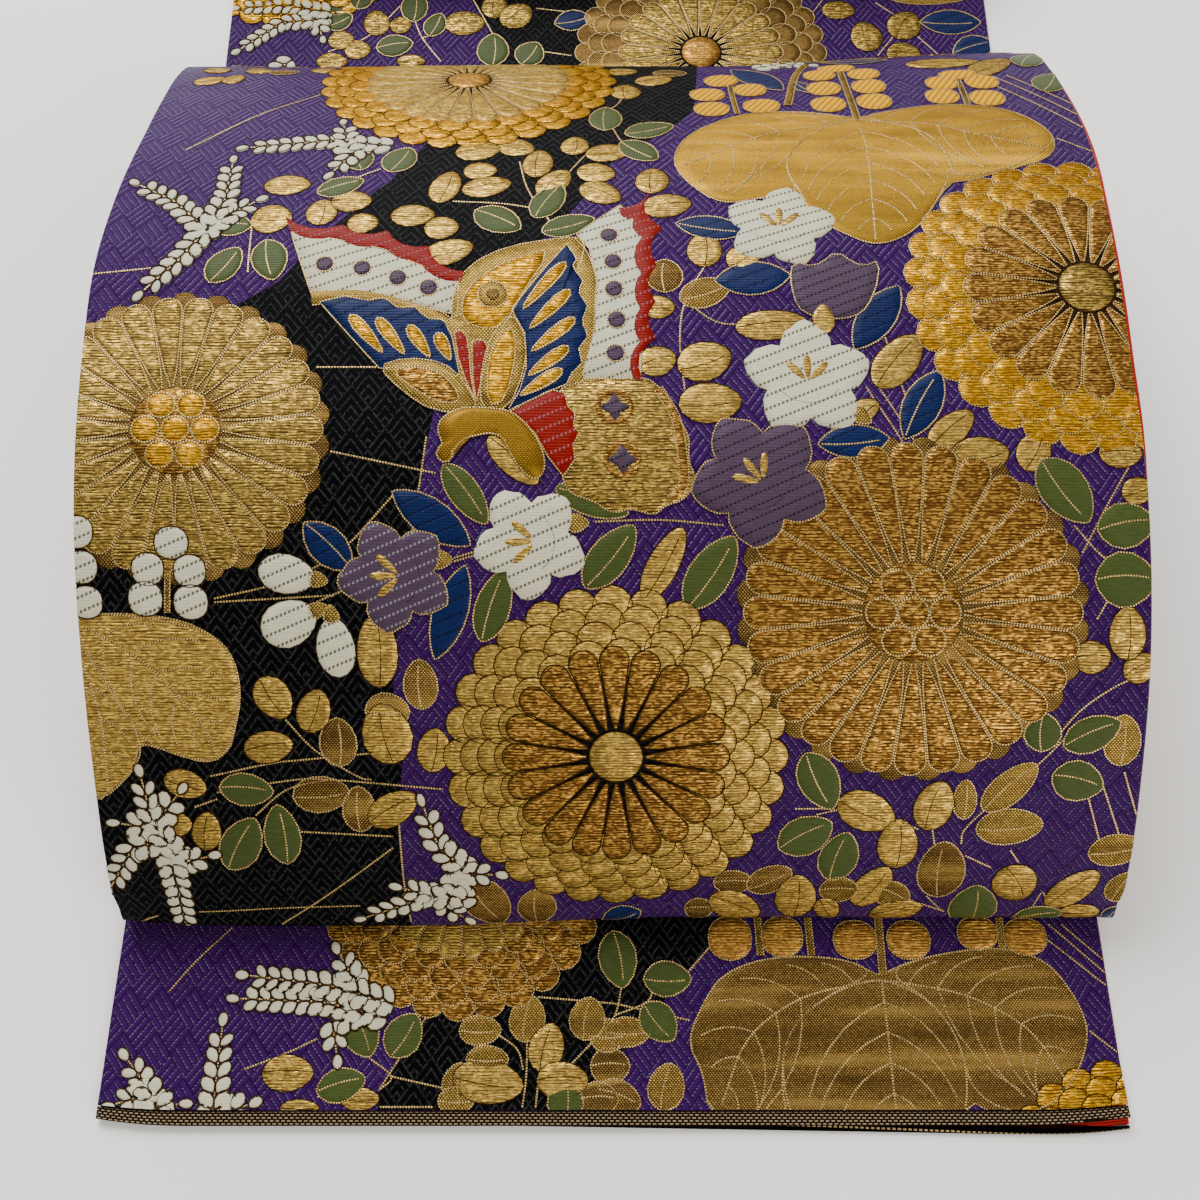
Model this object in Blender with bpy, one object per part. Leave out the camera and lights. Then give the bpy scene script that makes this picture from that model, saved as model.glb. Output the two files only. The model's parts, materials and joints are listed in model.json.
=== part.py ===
"""A fukuro obi arranged as a drum bow (otaiko) and lying on a table.

One strip of double cloth, 310 mm wide and 4.3 m long: a brocade face and a plain lining. From its tare end it
runs back under the drum, folds over and comes forward, turns up at the drum's lip, arches over the hollow
drum, goes under at the rear, comes forward again, folds once more and runs back as the upper stretch. What is
left lies in a stack of flat folds behind. Metres, +Z up, +Y from the tare end towards the stack.
"""

import math

import bmesh
import bpy
from mathutils import Vector

# The cloth
CLOTH_WIDTH = 0.310
CLOTH_LENGTH = 4.300
FACE_THICKNESS = 0.0012
LINING_THICKNESS = 0.0010
SEAM_GAP = 0.0003
LINING_SHIFT = 0.0006  # the lining is sewn this far off centre, and peeps out on the right
BORDER_WIDTH = 0.0040  # the woven band at each end

# The folds
FACED_RADIUS = 0.00185  # a fold with the brocade inside it, to the middle of the cloth
LINED_RADIUS = 0.00165  # a fold with the lining inside it
LIP_RADIUS = 0.00365  # the drum's lower edge
REAR_RADIUS = 0.0100  # the drum's rear edge
TARE_SHOWS = 0.0612  # from the tare end to the drum's lip
TARE_FOLD = 0.190  # from the tare end to the fold behind it
UPPER_FOLD = 0.215  # and to the fold that starts the upper stretch
STACK_REAR = 0.815
STACK_LAYERS = 9  # the upper stretch is the lowest of them

# The tare end
HEM_REACH = 0.030  # how far into the cloth the hem's shape fades out
LEFT_CORNER_BACK = 0.0020
RIGHT_CORNER_BACK = 0.0022
RIGHT_CORNER_LIFT = 0.0022  # the face stands off the lining there
LINING_PEEP = 0.0024  # the lining's end stands this far past the face's on the right
LINING_CORNER_BACK = 0.0016
LINING_BAND_LOSS = 0.0030  # its woven band is this much narrower on the right
TARE_NARROWS = 0.0018  # the drum draws each side of the tare in by this much

# The drum's lip and rear shoulder
LIP_SKEW = 0.0028  # the left half of the lip lies this much further forward
LIP_CORNER_BACK = 0.0018
LIP_CORNER_IN = 0.0009
LIP_REACH = 0.060
SHOULDER_SHIFT = Vector((-0.0040, 0.0030, 0.0035))  # how far its right end is pulled
SHOULDER_REACH = 0.090

# The drum's arch at the middle of the cloth: how far it is behind the lip, how high, and how far the cloth
# stands to the right there. The last row but one is the rear shoulder.
ARCH = (
    # back, height, sway
    (0.0094, 0.0221, 0.0020),
    (0.0288, 0.0423, 0.0018),
    (0.0579, 0.0657, 0.0012),
    (0.0883, 0.0826, 0.0002),
    (0.1169, 0.0919, -0.0008),
    (0.1475, 0.0952, -0.0018),
    (0.1775, 0.0966, -0.0020),
    (0.2072, 0.0919, -0.0007),
    (0.2374, 0.0831, 0.0014),
    (0.2669, 0.0698, 0.0021),
    (0.2950, 0.0528, 0.0020),
    (0.3090, 0.0340, 0.0020),
)
ARCH_SWAY = 0.0020  # at both ends of the arch
REAR_BULGE = 0.0045  # how far the rear edge stands behind the arch's last row

# How finely the cloth is cut into flats
TURN_STEPS = 8
ARCH_STEPS = 2
SHAPED_COLUMNS = 12
FLAT_COLUMNS = 1

LOW_MIDDLE = LINING_THICKNESS + SEAM_GAP / 2  # the cloth's middle where its lining lies on the table
LIFTED_MIDDLE = LOW_MIDDLE + 2 * FACED_RADIUS  # and in the layer folded over that
FACE_SIDE = (SEAM_GAP / 2, SEAM_GAP / 2 + FACE_THICKNESS)
LINING_SIDE = (-SEAM_GAP / 2 - LINING_THICKNESS, -SEAM_GAP / 2)


def smooth(t):
    """0 below 0, 1 above 1, and an even S between."""
    t = min(1.0, max(0.0, t))
    return t * t * (3 - 2 * t)


def corner(across, start):
    """0 up to start, then rising to 1 at the cloth's edge."""
    return max(0.0, (across - start) / (1 - start)) ** 2


# ---------------------------------------------------------------- the cloth's middle line, in side view


class Track:
    """The cloth's middle line: a list of (back, height, sway), grown from its first point."""

    def __init__(self, back, height, sway=0.0):
        self.points = [(back, height, sway)]

    def line_to(self, *stops, sway=None):
        """Level runs to each stop, where sway is reached at the last."""
        _, height, first_sway = self.points[-1]
        last_sway = first_sway if sway is None else sway
        for i, back in enumerate(stops, 1):
            self.points.append((back, height, first_sway + (last_sway - first_sway) * i / len(stops)))

    def turn(self, centre, radius, first, last):
        """An arc about centre from one angle to the other, in degrees from the way back."""
        sway = self.points[-1][2]
        for i in range(1, TURN_STEPS + 1):
            angle = math.radians(first + (last - first) * i / TURN_STEPS)
            out, up = radius * math.cos(angle), radius * math.sin(angle)
            self.points.append((centre[0] + out, centre[1] + up, sway))

    def curve_through(self, rows):
        """A smooth curve from the last point through the rows."""
        knots = [Vector(p) for p in (self.points[-2], self.points[-1], *rows)]
        knots.append(2 * knots[-1] - knots[-2])
        for before, start, end, after in zip(knots, knots[1:], knots[2:], knots[3:]):
            span = (end - start).length
            leaving = (end - before).normalized() * span
            arriving = (after - start).normalized() * span
            for i in range(1, ARCH_STEPS + 1):
                t = i / ARCH_STEPS
                point = (
                    start * (2 * t**3 - 3 * t**2 + 1)
                    + leaving * (t**3 - 2 * t**2 + t)
                    + end * (3 * t**2 - 2 * t**3)
                    + arriving * (t**3 - t**2)
                )
                self.points.append(tuple(point))


def tare_track():
    """From the tare end back under the drum, and round the fold there."""
    track = Track(0.0, LOW_MIDDLE)
    track.line_to(HEM_REACH / 3, HEM_REACH * 2 / 3, HEM_REACH, TARE_SHOWS, TARE_FOLD)
    track.turn((TARE_FOLD, LOW_MIDDLE + FACED_RADIUS), FACED_RADIUS, -90, 90)
    return track.points


def lip_centre():
    """The middle of the turn at the drum's lip."""
    return TARE_SHOWS + LIP_RADIUS + FACE_SIDE[1], LIFTED_MIDDLE + LIP_RADIUS


def taiko_track():
    """Forward to the lip, over the arch, under at the rear and forward to the upper fold."""
    lip = lip_centre()
    arch = [(TARE_SHOWS + back, height, sway) for back, height, sway in ARCH]
    rear = (arch[-1][0] + REAR_BULGE - REAR_RADIUS, LIFTED_MIDDLE + REAR_RADIUS)
    track = Track(TARE_FOLD, LIFTED_MIDDLE)
    track.line_to(lip[0] + LIP_REACH, lip[0] + LIP_REACH / 2, lip[0], sway=ARCH_SWAY)
    track.turn(lip, LIP_RADIUS, 270, 150)
    track.curve_through((*arch, (rear[0] + REAR_RADIUS, rear[1], ARCH_SWAY)))
    track.turn(rear, REAR_RADIUS, 0, -90)
    track.line_to(UPPER_FOLD, sway=0.0)
    track.turn((UPPER_FOLD, LOW_MIDDLE + FACED_RADIUS), FACED_RADIUS, 90, 270)
    return track.points


def upper_track():
    """The upper stretch, from its fold under the drum to the first fold of the stack."""
    track = Track(UPPER_FOLD, LOW_MIDDLE)
    track.line_to(STACK_REAR)
    return track.points


def length_of(points):
    return sum(math.dist(a[:2], b[:2]) for a, b in zip(points, points[1:]))


def stack_front():
    """Where the stack begins, from the length of cloth that the rest leaves for its layers."""
    used = sum(length_of(points) for points in (tare_track(), taiko_track(), upper_track()))
    turns = math.pi * (FACED_RADIUS + LINED_RADIUS) * (STACK_LAYERS - 1) / 2
    return STACK_REAR - (CLOTH_LENGTH - used - turns) / (STACK_LAYERS - 1)


def stack_track():
    """The folded layers between the upper stretch and the one on top."""
    front = stack_front()
    height = LOW_MIDDLE
    track = Track(STACK_REAR, height)
    for layer in range(1, STACK_LAYERS):
        if layer % 2 == 1:
            track.turn((STACK_REAR, height + FACED_RADIUS), FACED_RADIUS, -90, 90)
            height += 2 * FACED_RADIUS
            track.line_to(front)
        else:
            track.turn((front, height + LINED_RADIUS), LINED_RADIUS, 270, 90)
            height += 2 * LINED_RADIUS
            if layer < STACK_LAYERS - 1:
                track.line_to(STACK_REAR)
    return track.points


def te_track():
    """The layer on top of the stack, to the te end of the cloth."""
    front, height, _ = stack_track()[-1]
    track = Track(front, height)
    track.line_to(STACK_REAR)
    return track.points


def shortened(points, start, end):
    """The track with a length taken off its straight first and last runs."""

    def along(a, b, length):
        share = length / math.dist(a[:2], b[:2])
        return tuple(p + share * (q - p) for p, q in zip(a, b))

    return [along(points[0], points[1], start), *points[1:-1], along(points[-1], points[-2], end)]


def normals_of(points):
    """For each point, the side that the brocade is on: to the left of the way along the track."""
    ahead = [*points[1:], points[-1]]
    behind = [points[0], *points[:-1]]
    sizes = [math.dist(a[:2], b[:2]) for a, b in zip(behind, ahead)]
    return [((a[1] - b[1]) / size, (b[0] - a[0]) / size) for a, b, size in zip(behind, ahead, sizes)]


# ---------------------------------------------------------------- what moves the cloth off its track


def tare_drawn_in(back, across):
    """The tare is narrowest where the drum lies on it."""
    share = min(back / TARE_SHOWS, (TARE_FOLD - back) / (TARE_FOLD - TARE_SHOWS))
    return -across * TARE_NARROWS * max(0.0, share)


def tare_face_bend(point, across):
    """The face's hem: both corners lie back, and the right one lifts."""
    back = point[0]
    fade = max(0.0, 1 - back / HEM_REACH) ** 2
    hem = LEFT_CORNER_BACK * corner(-across, 0.84) + RIGHT_CORNER_BACK * corner(across, 0.80)
    lift = RIGHT_CORNER_LIFT * corner(across, 0.45)
    return Vector((tare_drawn_in(back, across), hem * fade, lift * fade))


def tare_lining_bend(point, across):
    """The lining's hem: it stands past the face's on the right, where its band narrows too."""
    back = point[0]
    hem = LEFT_CORNER_BACK * corner(-across, 0.84) + LINING_CORNER_BACK * corner(across, 0.85)
    hem -= LINING_PEEP * smooth((across - 0.2) / 0.6)
    band_end = hem - LINING_BAND_LOSS * smooth((across - 0.6) / 0.25)
    if back < BORDER_WIDTH:
        shift = hem + (band_end - hem) * back / BORDER_WIDTH
    else:
        shift = band_end * max(0.0, 1 - (back - BORDER_WIDTH) / (HEM_REACH - BORDER_WIDTH)) ** 2
    return Vector((tare_drawn_in(back, across), shift, 0.0))


def drum_bend(point, across):
    """The lip runs askew and its ends round away, and the right end of the rear shoulder is pulled back."""
    lip = lip_centre()
    from_lip = math.dist(point[:2], lip) - LIP_RADIUS
    low = smooth(1 - from_lip / LIP_REACH)
    forward = LIP_SKEW * (1 - smooth((across + 0.45) / 0.6))
    rounded = corner(abs(across), 0.93) * smooth(1 - from_lip / (2 * LIP_RADIUS))
    end = LIP_CORNER_BACK * corner(-across, 0.72)
    shoulder = (TARE_SHOWS + ARCH[-2][0], ARCH[-2][1])
    pulled = smooth((across - 0.2) / 0.75) * smooth(1 - math.dist(point[:2], shoulder) / SHOULDER_REACH)
    inward = -math.copysign(LIP_CORNER_IN, across) * rounded
    return Vector((inward, low * (end - forward), 0.0)) + SHOULDER_SHIFT * pulled


def no_bend(point, across):
    return Vector((0.0, 0.0, 0.0))


# ---------------------------------------------------------------- the solids


def cloth_material(name, colour, roughness, metallic=0.0):
    material = bpy.data.materials.new(name)
    material.use_nodes = True
    shader = material.node_tree.nodes["Principled BSDF"]
    shader.inputs["Base Color"].default_value = (*colour, 1.0)
    shader.inputs["Roughness"].default_value = roughness
    shader.inputs["Metallic"].default_value = metallic
    return material


def add_flats(mesh, corners, turned):
    """Two triangles on four corners, cut the same way on every wall so that neighbours stay apart."""
    for flat in ((corners[0], corners[1], corners[2]), (corners[0], corners[2], corners[3])):
        mesh.faces.new(flat[::-1] if turned else flat)


def ply(name, points, side, material, bend, columns, shift=0.0):
    """A wall of cloth between two offsets from a track, closed all round. Its columns bunch at the edges."""
    mesh = bmesh.new()
    sheets = []
    across = [math.sin(math.pi * (c / columns - 0.5)) for c in range(columns + 1)]
    for offset in reversed(side):
        rows = []
        for point, normal in zip(points, normals_of(points)):
            back, height, sway = point
            base = Vector((sway + shift, back + offset * normal[0], height + offset * normal[1]))
            reach = CLOTH_WIDTH / 2
            rows.append([mesh.verts.new(base + Vector((u * reach, 0, 0)) + bend(point, u)) for u in across])
        sheets.append(rows)
    top, bottom = sheets
    for rows, turned in ((top, False), (bottom, True)):
        for near, far in zip(rows, rows[1:]):
            for c in range(columns):
                add_flats(mesh, (near[c], near[c + 1], far[c + 1], far[c]), turned)
    for c, turned in ((0, False), (columns, True)):
        for i in range(len(points) - 1):
            add_flats(mesh, (top[i][c], top[i + 1][c], bottom[i + 1][c], bottom[i][c]), turned)
    for i, turned in ((0, True), (-1, False)):
        for c in range(columns):
            add_flats(mesh, (top[i][c], top[i][c + 1], bottom[i][c + 1], bottom[i][c]), turned)
    bmesh.ops.recalc_face_normals(mesh, faces=mesh.faces)
    data = bpy.data.meshes.new(name)
    mesh.to_mesh(data)
    mesh.free()
    data.shade_smooth()
    data.set_sharp_from_angle(angle=math.radians(40))
    data.materials.append(material)
    obj = bpy.data.objects.new(name, data)
    bpy.context.scene.collection.objects.link(obj)
    return obj


def double_cloth(name, points, face, lining, face_bend, lining_bend, columns):
    """A stretch of the obi: its face and its lining, apart by the seam's gap."""
    ply(f"{name}_face", points, FACE_SIDE, face, face_bend, columns)
    ply(f"{name}_lining", points, LINING_SIDE, lining, lining_bend, columns, LINING_SHIFT)


def centre_on_origin():
    """Moves everything so that the origin is at the bottom centre of its box."""
    corners = [v.co for o in bpy.context.scene.objects for v in o.data.vertices]
    low = Vector(min(c[i] for c in corners) for i in range(3))
    high = Vector(max(c[i] for c in corners) for i in range(3))
    middle = (low + high) / 2
    for obj in bpy.context.scene.objects:
        obj.location = (-middle.x, -middle.y, -low.z)
    print("moved by", [round(1000 * v, 3) for v in (-middle.x, -middle.y, -low.z)], "mm")
    print("stack from", round(1000 * stack_front(), 1), "mm behind the tare end")


def main():
    for obj in list(bpy.data.objects):
        bpy.data.objects.remove(obj)
    brocade = cloth_material("brocade", (0.16, 0.07, 0.33), 0.55)
    lining = cloth_material("lining", (0.55, 0.03, 0.03), 0.6)
    border = cloth_material("woven_border", (0.22, 0.17, 0.08), 0.5, 0.3)
    plain = (brocade, lining, no_bend, no_bend, FLAT_COLUMNS)
    band = (border, border, no_bend, no_bend, FLAT_COLUMNS)
    gap = SEAM_GAP / 2
    banded = BORDER_WIDTH + SEAM_GAP

    tare_bends = (tare_face_bend, tare_lining_bend, SHAPED_COLUMNS)
    double_cloth("tare", shortened(tare_track(), banded, gap), brocade, lining, *tare_bends)
    hem = [(0.0, LOW_MIDDLE, 0.0), (BORDER_WIDTH, LOW_MIDDLE, 0.0)]
    double_cloth("tare_border", hem, border, border, *tare_bends)

    drum = shortened(taiko_track(), gap, gap)
    double_cloth("taiko", drum, brocade, lining, drum_bend, drum_bend, SHAPED_COLUMNS)

    double_cloth("upper", shortened(upper_track(), gap, gap), *plain)
    whole_side = (LINING_SIDE[0], FACE_SIDE[1])
    ply("folded_layers", shortened(stack_track(), gap, gap), whole_side, lining, no_bend, FLAT_COLUMNS)
    te = te_track()
    double_cloth("te", shortened(te, gap, banded), *plain)
    end = [(STACK_REAR - BORDER_WIDTH, te[0][1], 0.0), (STACK_REAR, te[0][1], 0.0)]
    double_cloth("te_border", end, *band)
    centre_on_origin()


main()
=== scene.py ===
"""A brocade obi arranged as a drum bow, with its woven figures laid on the cloth one by one.

Run as a script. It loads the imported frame, builds the double cloth round it, draws the figures flat, in
centimetres across and along the cloth, and bends them onto the stretch that carries them. Metres, +Z up;
x is across the cloth and s is along it.
"""

import json
import math
import random

import bmesh
import bpy
import numpy as np
from bpy.props import FloatProperty, FloatVectorProperty, IntProperty, PointerProperty
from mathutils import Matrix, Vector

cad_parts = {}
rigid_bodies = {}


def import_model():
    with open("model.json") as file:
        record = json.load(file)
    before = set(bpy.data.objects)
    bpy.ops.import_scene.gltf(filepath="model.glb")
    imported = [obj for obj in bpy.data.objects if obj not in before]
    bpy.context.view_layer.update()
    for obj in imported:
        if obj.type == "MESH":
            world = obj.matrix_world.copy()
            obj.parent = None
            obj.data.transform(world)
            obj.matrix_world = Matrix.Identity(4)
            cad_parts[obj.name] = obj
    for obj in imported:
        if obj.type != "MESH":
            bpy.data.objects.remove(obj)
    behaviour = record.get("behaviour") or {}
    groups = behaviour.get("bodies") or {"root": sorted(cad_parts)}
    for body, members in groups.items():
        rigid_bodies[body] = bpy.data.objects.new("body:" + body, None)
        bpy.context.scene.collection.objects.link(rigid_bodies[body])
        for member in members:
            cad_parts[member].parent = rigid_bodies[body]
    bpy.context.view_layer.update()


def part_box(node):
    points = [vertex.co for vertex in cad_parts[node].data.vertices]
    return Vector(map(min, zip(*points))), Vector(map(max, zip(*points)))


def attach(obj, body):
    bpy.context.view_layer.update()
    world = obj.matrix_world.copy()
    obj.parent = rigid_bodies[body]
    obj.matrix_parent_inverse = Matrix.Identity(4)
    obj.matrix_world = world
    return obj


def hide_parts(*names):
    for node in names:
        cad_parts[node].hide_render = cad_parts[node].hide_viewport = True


bl_info = {
    "name": "Obi in a Drum Bow",
    "version": (1, 0, 0),
    "blender": (4, 5, 0),
    "location": "3D View > Sidebar > Obi",
    "description": "Builds a brocade obi arranged as a drum bow, with its woven figures",
    "category": "Add Mesh",
}

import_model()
CM = 0.01
MM = 0.001

# ---------------------------------------------------------------- the cloth's form

FACE_THICKNESS = 0.0012
LINING_THICKNESS = 0.0010
SEAM_GAP = 0.0003
LINING_SHIFT = 0.0006  # how far to the right the lining is sewn
BORDER_WIDTH = 0.0040
FACE_SIDE = (SEAM_GAP / 2, SEAM_GAP / 2 + FACE_THICKNESS)
LINING_SIDE = (-SEAM_GAP / 2 - LINING_THICKNESS, -SEAM_GAP / 2)

FACED_RADIUS = 0.00185  # a fold with the brocade inside it
LINED_RADIUS = 0.00165  # a fold with the lining inside it
LIP_RADIUS = 0.00365
REAR_RADIUS = 0.0100
REAR_BULGE = 0.0045
TARE_SHOWS = 0.0612
TARE_FOLD = 0.190
UPPER_FOLD = 0.215
STACK_REAR = 0.815
STACK_LAYERS = 9

# How far the cloth lies off its straight form, and how far along it the hem's and the lip's shares reach
HEM_REACH = 0.030
LEFT_CORNER_BACK = 0.0020
RIGHT_CORNER_BACK = 0.0022
RIGHT_CORNER_LIFT = 0.0022
LINING_CORNER_BACK = 0.0016
LINING_PEEP = 0.0024  # past the face's hem
LINING_PEEK = 0.0010  # past the drum's right edge
LINING_BAND_LOSS = 0.0030
TARE_NARROWS = 0.0018
LIP_REACH = 0.060
LIP_SKEW = 0.0028
LIP_CORNER_BACK = 0.0018
LIP_CORNER_IN = 0.0009
SHOULDER_REACH = 0.090
SHOULDER_SHIFT = (-0.0040, 0.0030, 0.0035)
LOW_MIDDLE = LINING_THICKNESS + SEAM_GAP / 2
LIFTED_MIDDLE = LOW_MIDDLE + 2 * FACED_RADIUS

# The drum's arch at the middle of the cloth: how far behind the lip, how high, how far it stands to the right
ARCH = (
    (0.0094, 0.0221, 0.0020),
    (0.0288, 0.0423, 0.0018),
    (0.0579, 0.0657, 0.0012),
    (0.0883, 0.0826, 0.0002),
    (0.1169, 0.0919, -0.0008),
    (0.1475, 0.0952, -0.0018),
    (0.1775, 0.0966, -0.0020),
    (0.2072, 0.0919, -0.0007),
    (0.2374, 0.0831, 0.0014),
    (0.2669, 0.0698, 0.0021),
    (0.2950, 0.0528, 0.0020),
    (0.3090, 0.0340, 0.0020),
)
ARCH_SWAY = 0.0020
LIP_CENTRE = (TARE_SHOWS + LIP_RADIUS + FACE_SIDE[1], LIFTED_MIDDLE + LIP_RADIUS)
SHOULDER = (TARE_SHOWS + ARCH[-2][0], ARCH[-2][1])


def shift_of_frame():
    """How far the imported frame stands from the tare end's own origin, read off the upper stretch's solid."""
    low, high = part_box("upper_face")
    return np.array([(low.x + high.x) / 2, low.y - UPPER_FOLD - SEAM_GAP / 2, 0.0])


FRAME_SHIFT = shift_of_frame()
CLOTH_WIDTH = round(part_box("upper_face")[1].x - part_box("upper_face")[0].x, 4)


def smooth(t):
    """0 below 0, 1 above 1, and an even S between."""
    t = np.clip(t, 0.0, 1.0)
    return t * t * (3 - 2 * t)


def corner(across, start):
    """0 up to start, then rising to 1 at the cloth's edge."""
    return np.maximum(0.0, (across - start) / (1 - start)) ** 2


def runs(line):
    """How far along a line each of its points lies."""
    return np.concatenate([[0.0], np.cumsum(np.hypot(*np.diff(line, axis=0).T))])


def as_line(path, closed=False):
    """A path as an array of points; a closed one then ends on its first point."""
    path = np.asarray(path, float)
    return np.concatenate([path, path[:1]]) if closed else path


def sideways(line, closed=False):
    """The direction to the left of a line at each of its points; a closed one ends on its first point."""
    last, first = (line[1:2], line[-2:-1]) if closed else (line[-1:], line[:1])
    way = np.concatenate([line[1:], last]) - np.concatenate([first, line[:-1]])
    way /= np.maximum(np.hypot(*way.T), 1e-9)[:, None]
    return np.stack([-way[:, 1], way[:, 0]], -1)


def on_circle(centre, radius, angle):
    """The point of a circle at an angle in radians."""
    return centre[0] + radius * math.cos(angle), centre[1] + radius * math.sin(angle)


class Track:
    """The cloth's middle line in side view: points of (back, height, sway), grown from the first."""

    def __init__(self, back, height, sway=0.0):
        self.points = [(back, height, sway)]

    def line_to(self, back, sway=None, steps=24):
        first, height, was = self.points[-1]
        sway = was if sway is None else sway
        for i in range(1, steps + 1):
            t = i / steps
            self.points.append((first + (back - first) * t, height, was + (sway - was) * t))

    def turn(self, centre, radius, first, last, steps=24):
        sway = self.points[-1][2]
        for i in range(1, steps + 1):
            angle = math.radians(first + (last - first) * i / steps)
            self.points.append((*on_circle(centre, radius, angle), sway))

    def curve_through(self, before, rows, steps=10):
        """A smooth curve from the last point through the rows, arriving from the point before."""
        knots = [np.array(p) for p in (before, self.points[-1], *rows)]
        knots.append(2 * knots[-1] - knots[-2])
        for a, b, c, d in zip(knots, knots[1:], knots[2:], knots[3:]):
            span = np.linalg.norm(c - b)
            leaving = (c - a) / np.linalg.norm(c - a) * span
            arriving = (d - b) / np.linalg.norm(d - b) * span
            for i in range(1, steps + 1):
                t = i / steps
                self.points.append(
                    tuple(
                        b * (2 * t**3 - 3 * t**2 + 1)
                        + leaving * (t**3 - 2 * t**2 + t)
                        + c * (3 * t**2 - 2 * t**3)
                        + arriving * (t**3 - t**2)
                    )
                )


def taiko_track():
    """Forward to the lip, over the arch, under at the rear and forward to the upper fold."""
    arch = [(TARE_SHOWS + back, height, sway) for back, height, sway in ARCH]
    rear = (arch[-1][0] + REAR_BULGE - REAR_RADIUS, LIFTED_MIDDLE + REAR_RADIUS)
    track = Track(TARE_FOLD, LIFTED_MIDDLE)
    track.line_to(LIP_CENTRE[0], sway=ARCH_SWAY)
    track.turn(LIP_CENTRE, LIP_RADIUS, 270, 180, 18)
    front = len(track.points) - 1
    track.turn(LIP_CENTRE, LIP_RADIUS, 180, 150, 6)
    before = (*on_circle(LIP_CENTRE, LIP_RADIUS, math.radians(165)), ARCH_SWAY)
    track.curve_through(before, (*arch, (rear[0] + REAR_RADIUS, rear[1], ARCH_SWAY)))
    track.turn(rear, REAR_RADIUS, 0, -90)
    track.line_to(UPPER_FOLD, sway=0.0)
    track.turn((UPPER_FOLD, LOW_MIDDLE + FACED_RADIUS), FACED_RADIUS, 90, 270)
    return track.points, front


def tare_drawn_in(back, across):
    share = np.minimum(back / TARE_SHOWS, (TARE_FOLD - back) / (TARE_FOLD - TARE_SHOWS))
    return -across * TARE_NARROWS * np.maximum(0.0, share)


def tare_face_bend(back, height, across):
    """The face's hem: both corners lie back, and the right one lifts."""
    fade = np.maximum(0.0, 1 - back / HEM_REACH) ** 2
    hem = LEFT_CORNER_BACK * corner(-across, 0.84) + RIGHT_CORNER_BACK * corner(across, 0.80)
    lift = RIGHT_CORNER_LIFT * corner(across, 0.45)
    return np.stack([tare_drawn_in(back, across), hem * fade, lift * fade], -1)


def tare_lining_bend(back, height, across):
    """The lining's hem stands past the face's on the right, where its woven band narrows too."""
    hem = LEFT_CORNER_BACK * corner(-across, 0.84) + LINING_CORNER_BACK * corner(across, 0.85)
    hem = hem - LINING_PEEP * smooth((across - 0.2) / 0.6)
    band_end = hem - LINING_BAND_LOSS * smooth((across - 0.6) / 0.25)
    in_band = hem + (band_end - hem) * np.minimum(1.0, back / BORDER_WIDTH)
    behind = band_end * np.maximum(0.0, 1 - (back - BORDER_WIDTH) / (HEM_REACH - BORDER_WIDTH)) ** 2
    shift = np.where(back < BORDER_WIDTH, in_band, behind)
    return np.stack([tare_drawn_in(back, across), shift, np.zeros_like(shift)], -1)


def drum_bend(back, height, across):
    """The lip runs askew, its ends round away, and the right end of the rear shoulder is pulled back."""
    from_lip = np.hypot(back - LIP_CENTRE[0], height - LIP_CENTRE[1]) - LIP_RADIUS
    low = smooth(1 - from_lip / LIP_REACH)
    forward = LIP_SKEW * (1 - smooth((across + 0.45) / 0.6))
    rounded = corner(np.abs(across), 0.93) * smooth(1 - from_lip / (2 * LIP_RADIUS))
    end = LIP_CORNER_BACK * corner(-across, 0.72)
    apart = np.hypot(back - SHOULDER[0], height - SHOULDER[1])
    pulled = smooth((across - 0.2) / 0.75) * smooth(1 - apart / SHOULDER_REACH)
    moves = (-np.sign(across) * LIP_CORNER_IN * rounded, low * (end - forward), 0.0)
    return np.stack([move + far * pulled for move, far in zip(moves, SHOULDER_SHIFT)], -1)


def drum_lining_bend(back, height, across):
    """The lining follows the face, but stands out past it along the right edge of the drum's top."""
    peek = smooth((across - 0.6) / 0.4) * smooth((back - 0.160) / 0.040) * smooth((height - 0.040) / 0.030)
    return drum_bend(back, height, across) + np.stack([LINING_PEEK * peek, 0 * peek, 0 * peek], -1)


def crease(along, across, rows):
    """Soft troughs and ridges: each row is a ridge's two ends, its half width and its height."""
    out = np.zeros_like(along)
    for (x0, s0, x1, s1), reach, height in rows:
        dx, ds = x1 - x0, s1 - s0
        length = dx * dx + ds * ds
        t = np.clip(((across - x0) * dx + (along - s0) * ds) / length, 0, 1)
        apart = np.hypot(across - x0 - t * dx, along - s0 - t * ds)
        out = out + height * MM * np.exp(-((apart / reach) ** 2))
    return out


# In centimetres across and along, then the half width in centimetres and the height in millimetres
TAIKO_CREASES = (
    ((-15.0, 31.0, -9.0, 27.0), 1.1, 0.45),
    ((-15.0, 27.5, -11.0, 25.0), 0.9, -0.40),
    ((-12.0, 33.5, -6.0, 34.5), 1.2, -0.35),
    ((-15.5, 12.0, -13.0, 9.0), 1.3, 0.35),
    ((12.0, 24.0, 15.5, 19.0), 1.4, 0.40),
    ((-15.5, 3.2, 15.5, 2.6), 1.0, 0.25),
    ((-14.0, 1.2, 15.0, 1.2), 0.5, -0.20),
)
TARE_CREASES = (
    ((2.5, 4.0, 15.0, 4.2), 0.35, -0.30),
    ((2.5, 3.6, 15.0, 3.7), 0.25, 0.25),
    ((-15.0, 3.2, -9.0, 3.0), 1.0, 0.20),
)
UPPER_CREASES = (((-15.0, 45.0, -7.0, 41.5), 1.0, 0.25),)


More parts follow.
